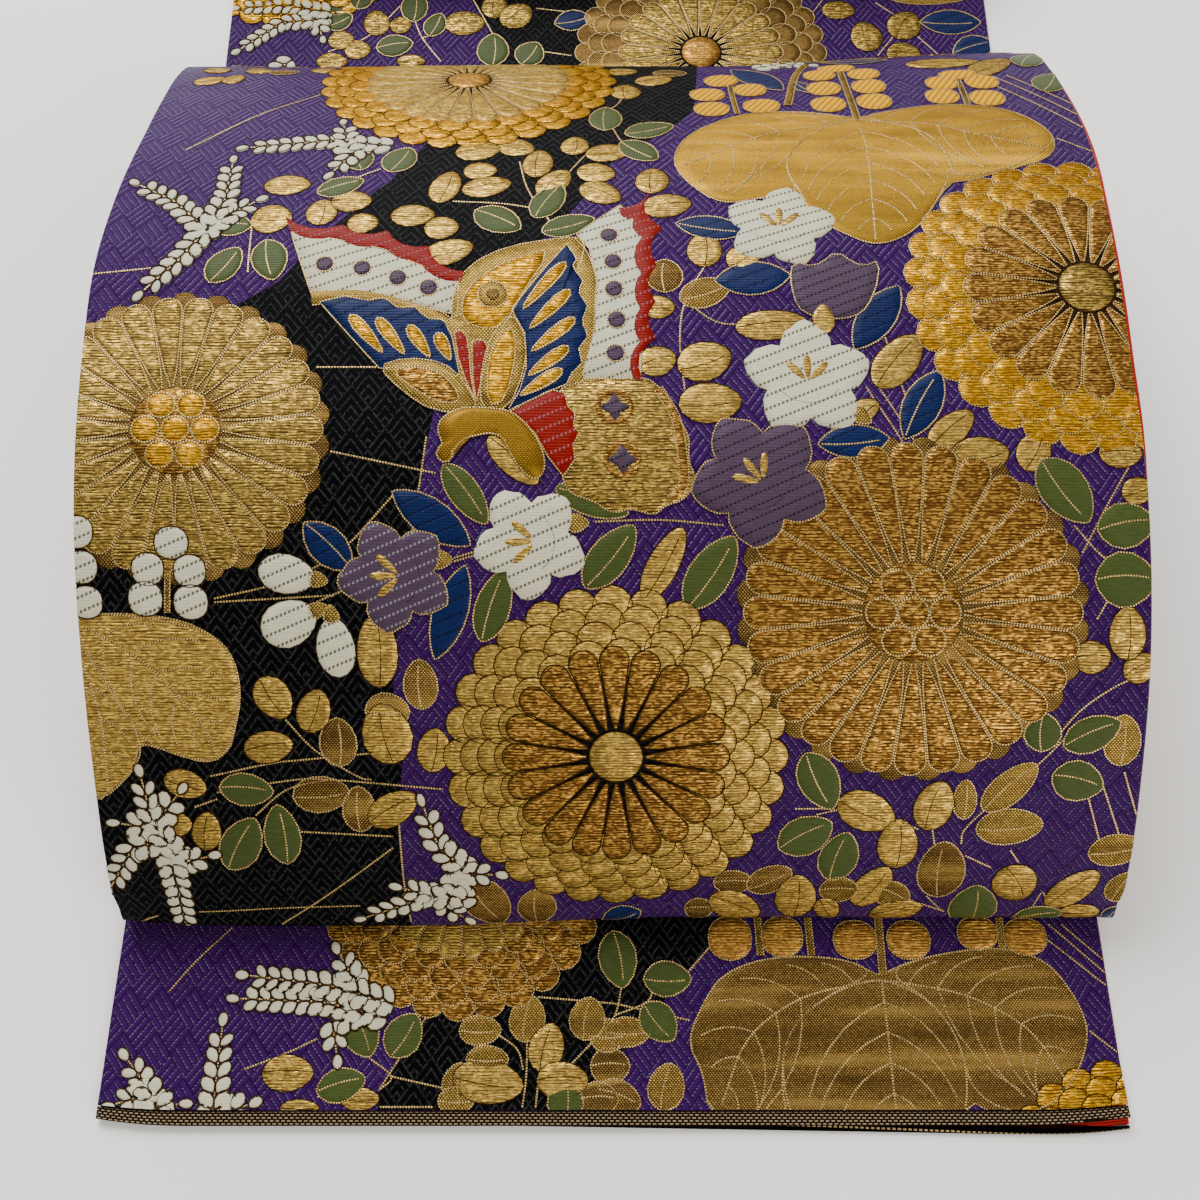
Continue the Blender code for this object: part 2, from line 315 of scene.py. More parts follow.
class Stretch:
    """One stretch of the cloth: it puts a point across, along and above the middle of the cloth in space."""

    def __init__(self, points, front=0, bend=None, creases=()):
        self.points = np.array(points, float)
        self.along = runs(self.points[:, :2])
        self.along -= self.along[front]
        self.normals = sideways(self.points[:, :2])
        self.bend, self.creases = bend, creases

    def place(self, across, along, above, bend=None):
        back, height, sway = (np.interp(along, self.along, self.points[:, i]) for i in range(3))
        normal = np.stack([np.interp(along, self.along, self.normals[:, i]) for i in range(2)], -1)
        normal /= np.linalg.norm(normal, axis=-1, keepdims=True)
        above = above + crease(along / CM, across / CM, self.creases)
        spot = np.stack([across + sway, back + above * normal[..., 0], height + above * normal[..., 1]], -1)
        bend = bend or self.bend
        if bend:
            spot = spot + bend(back, height, across / (CLOTH_WIDTH / 2))
        return spot + FRAME_SHIFT

    def rows(self, start, end):
        inner = self.along[(self.along > start + 0.0002) & (self.along < end - 0.0002)]
        return np.concatenate([[start], inner, [end]])


def level_track(start, end, height, steps):
    track = Track(start, height)
    track.line_to(end, steps=steps)
    return track.points


def tare_track():
    track = Track(0.0, LOW_MIDDLE)
    track.line_to(TARE_SHOWS + 0.01, steps=40)
    track.line_to(TARE_FOLD, steps=16)
    track.turn((TARE_FOLD, LOW_MIDDLE + FACED_RADIUS), FACED_RADIUS, -90, 90)
    return track.points


def stack_track(front, rear):
    """The folded layers between the upper stretch and the one on top."""
    height = LOW_MIDDLE
    track = Track(rear, height)
    for layer in range(1, STACK_LAYERS):
        faced = layer % 2 == 1
        radius = FACED_RADIUS if faced else LINED_RADIUS
        centre = (rear if faced else front, height + radius)
        track.turn(centre, radius, -90 if faced else 270, 90, 10)
        height += 2 * radius
        if layer < STACK_LAYERS - 1:
            track.line_to(front if faced else rear, steps=8)
    return track.points


TAIKO_POINTS, TAIKO_FRONT = taiko_track()
STACK_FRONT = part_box("te_face")[0].y - FRAME_SHIFT[1] - SEAM_GAP / 2
TE_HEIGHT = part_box("te_face")[0].z - FACE_SIDE[0]
STRETCHES = {
    "tare": Stretch(tare_track(), 0, tare_face_bend, TARE_CREASES),
    "taiko": Stretch(TAIKO_POINTS, TAIKO_FRONT, drum_bend, TAIKO_CREASES),
    "upper": Stretch(level_track(0.0, STACK_REAR, LOW_MIDDLE, 160), 0, None, UPPER_CREASES),
    "te": Stretch(level_track(STACK_FRONT, STACK_REAR, TE_HEIGHT, 70), 0),
    "folded": Stretch(stack_track(STACK_FRONT, STACK_REAR), 0),
}
TE_LENGTH = STACK_REAR - STACK_FRONT
DRUM_FOOT = 0.400  # along the cloth, where the drum's rear edge has turned under

# ---------------------------------------------------------------- sizes and colours a user may change


def srgb(red, green, blue):
    """A colour of 0 to 255 for each channel, as the scene's linear light."""
    shares = (red / 255, green / 255, blue / 255)
    return tuple(c / 12.92 if c <= 10 / 255 else ((c + 0.055) / 1.055) ** 2.4 for c in shares)


def colour(name, description, *rgb):
    return FloatVectorProperty(
        name=name, description=description, subtype="COLOR", size=3, min=0.0, max=1.0, default=srgb(*rgb)
    )


def length(name, description, default):
    return FloatProperty(
        name=name, description=description, unit="LENGTH", min=0.0, precision=5, default=default
    )


class ObiWeave(bpy.types.PropertyGroup):
    """How the cloth is woven."""

    weft: length("Weft pitch", "From one weft thread to the next", 0.00045)
    lozenge_width: length("Lozenge width", "Width of one lozenge of the ground's weave", 0.0100)
    lozenge_height: length("Lozenge height", "Height of one lozenge of the ground's weave", 0.0135)
    ribs: IntProperty(name="Ribs", description="Ribs in one lozenge of the purple ground", min=2, default=4)
    relief: length("Relief", "How far the crown of a woven figure stands above its rim", 0.00016)
    bevel: length("Bevel", "Width of the sloping rim of a woven figure", 0.00035)
    dash: length("Dash", "From one bright spot of the outline thread to the next", 0.00085)


class ObiColours(bpy.types.PropertyGroup):
    """The dyed silks and the gilt threads."""

    purple: colour("Purple ground", "Silk of the purple ground", 50, 15, 74)
    black: colour("Black ground", "Silk of the black ground", 6, 6, 7)
    lining: colour("Lining", "Plain silk behind the brocade", 168, 30, 26)
    white: colour("White silk", "Flowers, buds and sprays", 196, 192, 166)
    green: colour("Green silk", "Green leaves", 64, 75, 36)
    blue: colour("Blue silk", "Blue leaves and wing cells", 18, 31, 73)
    violet: colour("Violet silk", "Bellflowers and wing spots", 70, 55, 72)
    red: colour("Red silk", "Wing edges", 118, 15, 8)
    amber: colour("Amber silk", "Blossoms of the racemes", 226, 162, 0)
    pale_gold: colour("Pale gold", "Leaves, petals and outlines", 190, 152, 78)
    yellow_gold: colour("Yellow gold", "Blossoms and the brightest petals", 226, 158, 8)
    orange_gold: colour("Orange gold", "Warm petals", 196, 136, 64)
    brown_gold: colour("Brown gold", "Shaded leaves", 104, 76, 42)
    floor: colour("Floor", "The table under the obi", 246, 245, 242)


class ObiStage(bpy.types.PropertyGroup):
    """The table, the lamps and the camera."""

    key_power: FloatProperty(
        name="Key lamp", description="Power of the large lamp", unit="POWER", default=92.0
    )
    fill_power: FloatProperty(
        name="Fill lamp", description="Power of the front lamp", unit="POWER", default=27.0
    )
    sky: FloatProperty(name="Room light", description="Strength of the light from all round", default=0.44)
    lens: FloatProperty(name="Lens", description="Focal length of the camera, in millimetres", default=45.0)
    camera_height: length("Camera height", "Height of the camera above the table", 0.47725)
    camera_tilt: FloatProperty(
        name="Camera tilt", description="How far the camera looks up from straight down", unit="ROTATION",
        default=math.radians(22.843),
    )


# ---------------------------------------------------------------- shader maths


def maths(operation):
    """A method of Value that adds one Math node, with the value as its first number."""

    def method(self, *others):
        inputs = dict(enumerate((self, *others)))
        return self.finish.number("ShaderNodeMath", {"operation": operation}, inputs)

    return method


class Value:
    """A number in a shader, worked with in Python expressions."""

    __add__ = __radd__ = maths("ADD")
    __mul__ = __rmul__ = maths("MULTIPLY")
    __sub__, __truediv__, __mod__ = maths("SUBTRACT"), maths("DIVIDE"), maths("FLOORED_MODULO")
    floor, fraction, size = maths("FLOOR"), maths("FRACT"), maths("ABSOLUTE")
    sine, most, least = maths("SINE"), maths("MAXIMUM"), maths("MINIMUM")

    def __init__(self, finish, socket):
        self.finish, self.socket = finish, socket

    def __rsub__(self, other):
        return self.finish.number("ShaderNodeMath", {"operation": "SUBTRACT"}, {0: other, 1: self})

    def wave(self):
        """An even wave, one for each whole step of the value."""
        return (self * (2 * math.pi)).sine()

    def off_middle(self):
        """How far the value is from the middle of its whole step, 0 to 0.5."""
        return (self.fraction() - 0.5).size()

    def step(self, low, high, out_low=0.0, out_high=1.0):
        """A straight rise from out_low to out_high as the value goes from low to high."""
        inputs = {"Value": self, "From Min": low, "From Max": high, "To Min": out_low, "To Max": out_high}
        return self.finish.number("ShaderNodeMapRange", None, inputs)


FINISHES = {}  # every finished material, by the name the pieces ask for


class Finish:
    """One material, with the one way its nodes are made."""

    def __init__(self, name, roughness=0.6, metallic=0.0):
        self.name = name
        self.material = bpy.data.materials.new(name)
        self.material.use_nodes = True
        self.tree = self.material.node_tree
        self.shader = self.tree.nodes["Principled BSDF"]
        self.shader.inputs["Roughness"].default_value = roughness
        self.shader.inputs["Metallic"].default_value = metallic
        self.places = None

    def feed(self, socket, value):
        """Links a socket to another one, or sets it to a number or a colour."""
        value = value.socket if isinstance(value, Value) else value
        if isinstance(value, bpy.types.NodeSocket):
            self.tree.links.new(value, socket)
        else:
            socket.default_value = (*value, 1.0) if socket.type == "RGBA" else value

    def node(self, kind, settings=None, inputs=None):
        node = self.tree.nodes.new(kind)
        for name, value in (settings or {}).items():
            setattr(node, name, value)
        for name, value in (inputs or {}).items():
            self.feed(node.inputs[name], value)
        return node

    def number(self, kind, settings, inputs):
        return Value(self, self.node(kind, settings, inputs).outputs[0])

    def parts(self, vector):
        return [Value(self, out) for out in self.node("ShaderNodeSeparateXYZ", inputs={0: vector}).outputs]

    def cloth(self):
        """Where a point is on the flat cloth, across and along, in metres."""
        if self.places is None:
            self.places = self.parts(self.node("ShaderNodeUVMap", {"uv_map": "weave"}).outputs[0])[:2]
        return self.places

    def figure(self):
        """Along a thread, in from the figure's rim, both in metres, and the figure's own tone from 0 to 1."""
        return self.parts(self.node("ShaderNodeAttribute", {"attribute_name": "thread"}).outputs["Vector"])

    def vector(self, x, y, z=0.0):
        return self.node("ShaderNodeCombineXYZ", inputs={0: x, 1: y, 2: z}).outputs[0]

    def noise(self, x, y, z=0.0, detail=2.0):
        inputs = {"Vector": self.vector(x, y, z), "Scale": 1.0, "Detail": detail}
        return self.number("ShaderNodeTexNoise", None, inputs)

    def chance(self, x, y, z=0.0):
        """A number from 0 to 1 for each whole x, y and z."""
        return self.number("ShaderNodeTexWhiteNoise", None, {"Vector": self.vector(x, y, z)})

    def mix(self, share, first, second):
        return self.node("ShaderNodeMix", {"data_type": "RGBA"}, {0: share, 6: first, 7: second}).outputs[2]

    def gloss(self, level, tint):
        """How much a silk or a gilt thread shines, and in what colour."""
        self.feed(self.shader.inputs["Specular IOR Level"], level)
        self.feed(self.shader.inputs["Specular Tint"], tint)

    def paint(self, base, roughness=None, metallic=None, relief=None, depth=0.0001):
        for name, value in (("Base Color", base), ("Roughness", roughness), ("Metallic", metallic)):
            if value is not None:
                self.feed(self.shader.inputs[name], value)
        bump = self.node("ShaderNodeBump", inputs={"Height": relief, "Distance": depth, "Strength": 1.0})
        self.feed(self.shader.inputs["Normal"], bump.outputs[0])
        FINISHES[self.name] = self.material
        return self.material


def darker(rgb, share):
    return tuple(c * share for c in rgb)


def richer(rgb, share):
    """Brighter, towards a warm yellow."""
    return tuple(c + (most - c) * share for c, most in zip(rgb, (1.0, 0.68, 0.11)))


def lighter(rgb, share):
    return tuple(c + (1 - c) * share for c in rgb)


# ---------------------------------------------------------------- the finishes


GILT_METAL = 0.72  # how metallic gilt paper is


def lozenges(finish, weave):
    """The ground's lozenges: the place in one along each of its two sides, and which lozenge it is."""
    x, s = finish.cloth()
    across, along = x / weave.lozenge_width, s / weave.lozenge_height
    return across + along, across - along


def purple_ground(weave, colours):
    """Four ribs to a lozenge, and the lozenges turned by turns one way and the other."""
    finish = Finish("purple_ground", 0.5)
    x, s = finish.cloth()
    p, q = lozenges(finish, weave)
    turned = (p.floor() + q.floor()) % 2.0
    place = q * (1 - turned) + p * turned
    rib = (place * float(weave.ribs)).fraction()
    hump = (rib * math.pi).sine()
    end = (p * (turned - 1.0).size() + q * turned).fraction()
    close = ((end * math.pi).sine() * 6.0).least(1.0)
    thread = (s / weave.weft).wave()
    lit = rib.step(0.02, 0.16) * rib.step(0.34, 0.18)
    grain = finish.noise(x * 260, s * 1400, detail=3.0)
    dashes = finish.chance((x / 0.0006).floor(), (s / weave.weft).floor())
    cloud = finish.noise(x * 22, s * 22, 3.0)
    # Painted shade: darker in the hollows between the ribs, and at the ribs' ends along each lozenge's edge.
    base = finish.mix((hump * close).step(0.0, 0.60), darker(colours.purple, 0.22), colours.purple)
    base = finish.mix(grain.step(0.35, 0.7) * 0.35, base, darker(colours.purple, 0.55))
    dots = (s / (weave.weft * 2)).off_middle().step(0.42, 0.20)
    # Painted highlight: bright dots along the lit edge of each rib.
    base = finish.mix(lit * dots * dashes.step(0.15, 0.6) * 0.50 * close, base, lighter(colours.purple, 0.26))
    base = finish.mix(cloud.step(0.3, 0.7) * 0.22, base, darker(colours.purple, 0.6))
    finish.gloss(0.18, srgb(120, 40, 190))
    return finish.paint(base, relief=hump * close + thread * 0.12, depth=0.00022)


def black_ground(weave, colours):
    """Lozenges of thin grey ribs, each filled with four chevrons that stand one inside another."""
    finish = Finish("black_ground", 0.55)
    x, s = finish.cloth()
    p, q = lozenges(finish, weave)
    line = (p.fraction().most(1 - q.fraction()) * 4.0).fraction()
    rib = line.step(0.60, 0.72) * line.step(1.0, 0.90)
    dashes = finish.chance((x / 0.0005).floor(), (s / weave.weft).floor())
    grain = finish.noise(x * 300, s * 1500)
    base = finish.mix(rib * dashes.step(0.1, 0.6) * 0.8, colours.black, lighter(colours.black, 0.026))
    base = finish.mix(grain.step(0.5, 0.75) * 0.4, base, darker(colours.black, 0.4))
    finish.gloss(0.04, srgb(120, 125, 135))
    return finish.paint(base, relief=rib + grain * 0.3, depth=0.00012)


def satin(weave, name, rgb, shade, rough, rim, stitches=0.0, stitch=None, ribs=0.0):
    """A silk figure: fine wefts across it, a darker rim, and slanting rows of stitches or slanting ribs.

    Stitches and ribs are their pitches. Shade is the colour's share in a thread's shadow, and rim is how much
    the rim shows.
    """
    finish = Finish(name, rough)
    x, s = finish.cloth()
    _, edge, tone = finish.figure()
    weft = (s / (2 * weave.weft)).wave()
    grain = finish.noise(x * 420, s * 1900, tone * 40, 3.0)
    dark = darker(rgb, shade)
    base = finish.mix(grain.step(0.38, 0.72) * 0.6, rgb, dark)
    base = finish.mix(tone * 0.25, base, dark)
    relief = weft * 0.3 + grain * 0.8
    if stitches:
        slant = (s - x * 0.42) / stitches
        row = (1 - slant.off_middle() * 2).step(0.73, 0.86)
        spot = (x / 0.00125 + slant.floor() * 0.5).off_middle().step(0.34, 0.22)
        base = finish.mix(row * spot * 0.9, base, stitch or darker(rgb, 0.07))
        relief = relief - row * spot * 1.6
    if ribs:
        hollow = ((x - s * 0.6) / ribs).off_middle() * 2
        # Painted shade in the hollows between the slanting ribs.
        base = finish.mix(hollow.step(0.25, 1.0) * 0.9, base, darker(rgb, 0.30))
        relief = relief - hollow * 3.0
    base = finish.mix(edge.step(0.00022, 0.00005) * rim, base, darker(rgb, 0.12))
    finish.gloss(0.3, lighter(rgb, 0.10))
    return finish.paint(base, relief=relief, depth=0.00010)


def gilt(weave, name, light, mid, dark, ties=1.0):
    """Gilt paper thread laid weft by weft: dark where it is tied down, painted glints between, and a dark rim.
    """
    finish = Finish(name, 0.42)
    x, s = finish.cloth()
    _, edge, tone = finish.figure()
    sway = finish.noise(x * 100, s * 400, tone * 30)
    row = s / (weave.weft * 2.0) + sway * 1.7
    fine = s / (weave.weft * 1.1) + sway * 1.9
    cell = (x / 0.0024 + row.floor() * 0.37 + sway).floor()
    dash = finish.chance(cell, row.floor()).step(0.20, 0.30)
    line = (row.off_middle() * 2).step(0.42, 0.72) * dash
    thin = (fine.off_middle() * 2).step(0.40, 0.80) * finish.chance(cell * 1.7, fine.floor())
    glint = finish.chance((x / 0.0010 + fine.floor() * 0.41).floor(), fine.floor())
    wide = finish.noise(x * 60, s * 300, tone * 11)
    base = finish.mix(wide.step(0.60, 0.36) * 0.35, mid, darker(mid, 0.5))
    # Painted glints: bright cells of the glint colour.
    base = finish.mix(glint.step(0.35, 0.85) * wide.step(0.25, 0.50, 0.55, 1.0), base, light)
    base = finish.mix(((line * 0.90 + thin * 0.55) * ties).least(0.95), base, dark)
    relief = sway * 0.8 - line * 0.9 - thin * 0.3
    base = finish.mix(tone * 0.30, base, darker(mid, 0.40))
    base = finish.mix(edge.step(0.00026, 0.00008) * 0.85, base, darker(dark, 0.4))
    rough = glint.step(0.75, 0.95, 0.46, 0.30)
    finish.gloss(0.35, darker(mid, 0.8))
    return finish.paint(base, rough, GILT_METAL, relief=relief, depth=0.00012)


def netted(name, light, mid, dark, sheen, pitch=0.00095, shaded=None):
    """Gilt paper thread under a net of fine warps: rows of small bright spots, and painted streaks of sheen.

    It grows darker from the first to the second place along the cloth that shaded gives.
    """
    finish = Finish(name, 0.42)
    x, s = finish.cloth()
    _, edge, tone = finish.figure()
    row = s / (pitch * 0.60)
    place = x / pitch + (row.floor() % 2.0) * 0.5
    spot = place.off_middle().step(0.38, 0.14) * row.off_middle().step(0.40, 0.16)
    spark = finish.chance(place.floor(), row.floor())
    cloud = finish.noise(x * 45, s * 150, tone * 11)
    sheen_streak = finish.noise(x * 12, s * 130, 3.0)
    base = finish.mix(cloud.step(0.35, 0.65) * 0.6, mid, dark)
    lit = spot * spark.step(0.0, 0.8, 0.45, 1.0) * sheen_streak.step(0.30, 0.50, 0.35, 1.0)
    base = finish.mix(lit, base, light)
    # Painted sheen: broad streaks of light, which also brighten the spots beneath them.
    base = finish.mix(sheen_streak.step(0.54, 0.70) * sheen, base, light)
    if shaded:
        base = finish.mix(s.step(*shaded) * cloud.step(0.30, 0.65, 0.9, 0.5), base, darker(mid, 0.4))
    base = finish.mix(tone * 0.25, base, dark)
    base = finish.mix(edge.step(0.00026, 0.00008) * 0.85, base, darker(dark, 0.4))
    finish.gloss(0.35, darker(mid, 0.8))
    return finish.paint(base, 0.42, GILT_METAL, relief=spot * 0.8 + cloud * 0.4, depth=0.00012)


def outline_thread(weave, colours):
    """The thread that outlines and veins the figures: bright spots on a dark core."""
    finish = Finish("outline_thread", 0.38, 0.5)
    along, _, tone = finish.figure()
    spot = (along / weave.dash).off_middle().step(0.36, 0.24)
    fade = finish.chance((along / weave.dash).floor(), (tone * 97).floor()).step(0.0, 0.5, 0.45, 1.0)
    lit = lighter(richer(colours.pale_gold, 0.28), 0.06)
    base = finish.mix(spot * fade, darker(colours.brown_gold, 0.35), lit)
    return finish.paint(base, relief=spot, depth=0.00012)


def plain_weft(name, rough, dark, light, shine, tint):
    """The fine tie-down weft that shows between the petals."""
    finish = Finish(name, rough)
    x, s = finish.cloth()
    grain = finish.noise(x * 350, s * 1500)
    finish.gloss(shine, tint)
    return finish.paint(finish.mix(grain.step(0.4, 0.7), dark, light), relief=grain, depth=0.0001)


def lining_silk(colours):
    """Plain weave, red, with fine ribs across."""
    finish = Finish("lining_silk", 0.5)
    x, s = finish.cloth()
    grain = finish.noise(x * 500, s * 2200, detail=3.0)
    rib, warp = (s / 0.0006).wave(), (x / 0.0005).wave()
    cloud = finish.noise(x * 18, s * 18, 2.0)
    base = finish.mix(grain.step(0.35, 0.7) * 0.5, colours.lining, darker(colours.lining, 0.55))
    base = finish.mix(cloud.step(0.3, 0.7) * 0.2, base, darker(colours.lining, 0.6))
    finish.gloss(0.3, lighter(colours.lining, 0.2))
    return finish.paint(base, relief=rib * 0.5 + warp * 0.25 + grain * 0.4, depth=0.00008)


def woven_border(colours):
    """The end band: rows of pale gold bricks on black."""
    finish = Finish("woven_border", 0.5)
    x, s = finish.cloth()
    row = s / 0.00085
    wide = (x / 0.0017 + (row.floor() % 2.0) * 0.5).off_middle().step(0.34, 0.26)
    tall = row.off_middle().step(0.26, 0.16)
    grain = finish.noise(x * 500, s * 2000)
    rim = (s - 0.0020).size().step(0.00185, 0.0017)
    mark = wide * tall * rim
    finish.gloss(0.08, srgb(160, 140, 110))
    base = finish.mix(mark, colours.black, lighter(darker(colours.pale_gold, 0.50), 0.12))
    base = finish.mix(grain.step(0.4, 0.75) * 0.5, base, darker(colours.brown_gold, 0.35))
    return finish.paint(base, relief=mark + grain * 0.4, depth=0.00015)


def lining_border(colours):
    """The lining's end band: black, with one dotted cream line near its lower edge."""
    finish = Finish("lining_border", 0.55)
    x, s = finish.cloth()
    line = (s - 0.0006).size().step(0.00034, 0.00022)
    dots = (x / 0.0016).off_middle().step(0.34, 0.26)
    grain = finish.noise(x * 500, s * 2000)
    finish.gloss(0.05, srgb(160, 140, 110))
    base = finish.mix(line * dots, colours.black, lighter(colours.pale_gold, 0.1))
    base = finish.mix(grain.step(0.45, 0.75) * 0.3, base, darker(colours.black, 0.4))
    return finish.paint(base, relief=line * dots + grain * 0.4, depth=0.00012)


def make_finishes(weave, colours):
    """Every material of the obi."""
    pale, warm, violet = colours.pale_gold, colours.orange_gold, colours.violet
    yellow, brown, grey = colours.yellow_gold, colours.brown_gold, srgb(120, 125, 135)
    purple_ground(weave, colours)
    black_ground(weave, colours)
    # Silks: name, colour, shade, roughness, rim, pitch of the stitches, their colour, pitch of the ribs
    for silk in (
        ("white_silk", colours.white, 0.72, 0.5, 0.85),
        ("white_stitched", colours.white, 0.75, 0.5, 0.6, 0.0042),
        ("green_silk", colours.green, 0.5, 0.45, 0.7),
        ("blue_silk", colours.blue, 0.45, 0.42, 0.8, 0.0042, darker(colours.blue, 0.35)),
        ("violet_silk", violet, 0.6, 0.45, 0.7, 0.0034, darker(violet, 0.18)),
        ("lilac_silk", violet, 0.6, 0.45, 0.7, 0.0034, lighter(violet, 0.16)),
        ("red_silk", colours.red, 0.6, 0.45, 0.5, 0.0040, lighter(colours.red, 0.07)),
        ("amber_silk", colours.amber, 0.7, 0.8, 0.85, 0.0, None, 0.0024),
    ):
        satin(weave, *silk)
    for paper in (  # name, the colour of its painted glints, itself, the threads that tie it down, how much they show
        ("pale_gold", richer(pale, 0.38), darker(pale, 0.46), darker(pale, 0.05)),
        ("bright_gold", richer(pale, 0.65), darker(pale, 0.75), darker(warm, 0.08), 0.8),
        ("yellow_gold", richer(yellow, 0.40), darker(yellow, 0.60), darker(yellow, 0.10)),
        ("orange_gold", richer(warm, 0.30), darker(warm, 0.33), darker(warm, 0.05)),
        ("amber_gold", richer(warm, 0.40), darker(warm, 0.70), darker(warm, 0.08), 0.7),
    ):
        gilt(weave, *paper)
    for net in (  # name, its spots, itself, its shade, strength of the painted sheen streaks, pitch, where it grows darker
        ("warm_mesh", richer(yellow, 0.40), darker(richer(yellow, 0.35), 0.42), darker(warm, 0.14),
         0.5, 0.00095, (0.255, 0.228)),
        ("bright_mesh", richer(pale, 0.50), darker(pale, 0.24), darker(pale, 0.06), 0.0, 0.0010),
        ("mesh_gold", richer(pale, 0.40), darker(brown, 0.55), darker(brown, 0.15), 0.1),
        ("brown_mesh", darker(pale, 0.95), darker(brown, 0.40), darker(brown, 0.12), 0.4),
    ):
        netted(*net)
    outline_thread(weave, colours)
    plain_weft("dark_weft", 0.7, srgb(26, 16, 8), srgb(64, 42, 18), 0.1, srgb(120, 90, 50))
    plain_weft("black_weft", 0.6, colours.black, lighter(colours.black, 0.012), 0.05, grey)
    lining_silk(colours)
    woven_border(colours)
    lining_border(colours)


# ---------------------------------------------------------------- the cloth itself


def new_object(name, data):
    piece = bpy.data.objects.new(name, data)
    bpy.context.scene.collection.objects.link(piece)
    return piece


def mark_weave(mesh, flat):
    """Keeps each point's place on the flat cloth as the mesh's UV map."""
    corners = np.empty(len(mesh.loops), np.int32)
    mesh.loops.foreach_get("vertex_index", corners)
    mesh.uv_layers.new(name="weave").data.foreach_set("uv", flat[corners].reshape(-1))


def mark_threads(mesh, threads):
    """Keeps how far along its thread and in from its rim each point lies, and its figure's tone."""
    mesh.attributes.new("thread", "FLOAT_VECTOR", "POINT").data.foreach_set("vector", np.ravel(threads))


def swept_cloth(name, stretch, start, end, side, finishes, bend=None, shift=0.0, columns=44):
    """A wall of cloth between two offsets from a stretch, with rounded selvedges, closed all round.

    A second finish is its upper side's.
    """
    bottom, top = side
    edge = (top - bottom) * 0.35
    half = CLOTH_WIDTH / 2
    across = (half - edge) * np.sin(math.pi * (np.arange(columns + 1) / columns - 0.5))
    selvedge = [top - edge, (top + bottom) / 2, bottom + edge]
    ring_x = np.concatenate([across, [half] * 3, across[::-1], [-half] * 3])
    ring_h = [top] * (columns + 1) + selvedge + [bottom] * (columns + 1) + selvedge[::-1]
    rows = stretch.rows(start, end)
    count, turns = len(ring_x), len(rows)
    x, s = np.meshgrid(ring_x, rows)
    h = np.broadcast_to(ring_h, x.shape)
    points = stretch.place(x, s, h, bend).reshape(-1, 3) + (shift, 0, 0)
    faces = []
    for i in range(turns - 1):
        for c in range(count):
            d = (c + 1) % count
            faces.append((i * count + c, i * count + d, (i + 1) * count + d, (i + 1) * count + c))
    faces.append(tuple(range(count))[::-1])
    faces.append(tuple(range((turns - 1) * count, turns * count)))
    mesh = bpy.data.meshes.new(name)
    mesh.from_pydata(points.tolist(), [], faces)
    mark_weave(mesh, np.stack([x.reshape(-1), s.reshape(-1)], -1))
    mark_threads(mesh, np.tile([0.0, 0.01, 0.2], len(points)))
    for finish in finishes:
        mesh.materials.append(FINISHES[finish])
    if len(finishes) > 1:
        for face in mesh.polygons[: (turns - 1) * count]:
            c = face.index % count
            face.material_index = int(c <= columns or c >= count - 2)
    mesh.shade_smooth()
    mesh.set_sharp_from_angle(angle=math.radians(60))
    return new_object(name, mesh)


def settle(piece, nodes=()):
    """Puts a piece on the obi's one body and the solids it stands for."""
    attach(piece, "root")
    if nodes:
        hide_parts(*nodes)


def cut(knit, place, way, parts=None, **options):
    """Cuts a flat knit, or some parts of it, along the line through a place, square to a way."""
    parts = [*knit.verts, *knit.edges, *knit.faces] if parts is None else parts
    found = bmesh.ops.bisect_plane(
        knit, geom=parts, dist=1e-7, plane_co=(*place, 0), plane_no=(*way, 0), **options
    )
    return found["geom"]


def trim(knit, start, end, inset):
    """Cuts a flat knit off a little inside the cloth's sides, and at two places along it."""
    half = CLOTH_WIDTH / 2 - inset
    for place, way in (((half, 0), (1, 0)), ((-half, 0), (-1, 0)), ((0, end), (0, 1)), ((0, start), (0, -1))):
        cut(knit, place, way, clear_outer=True)


def bend_on(knit, mesh, stretch, lift, finishes):
    """Makes a flat knit a piece: bends it onto the face of its stretch, with its finishes."""
    knit.to_mesh(mesh)
    knit.free()
    flat = np.empty(len(mesh.vertices) * 3)
    mesh.vertices.foreach_get("co", flat)
    flat = flat.reshape(-1, 3)
    mark_weave(mesh, flat[:, :2])
    placed = stretch.place(flat[:, 0], flat[:, 1], FACE_SIDE[1] + lift + flat[:, 2])
    mesh.vertices.foreach_set("co", placed.reshape(-1))
    for finish in finishes:
        mesh.materials.append(FINISHES[finish])
    mesh.shade_smooth()
    mesh.update()
    settle(new_object(mesh.name, mesh))


# ---------------------------------------------------------------- woven figures

THREAD_RISES = ((0.0, -0.05), (0.5, 0.03), (1.0, -0.05))  # across a thread: share of its width, millimetres
FLAT_RISES = ((0.0, -9.0), (0.12, 0.0), (0.5, 0.08), (0.88, 0.0), (1.0, -9.0))
DISCS = {}


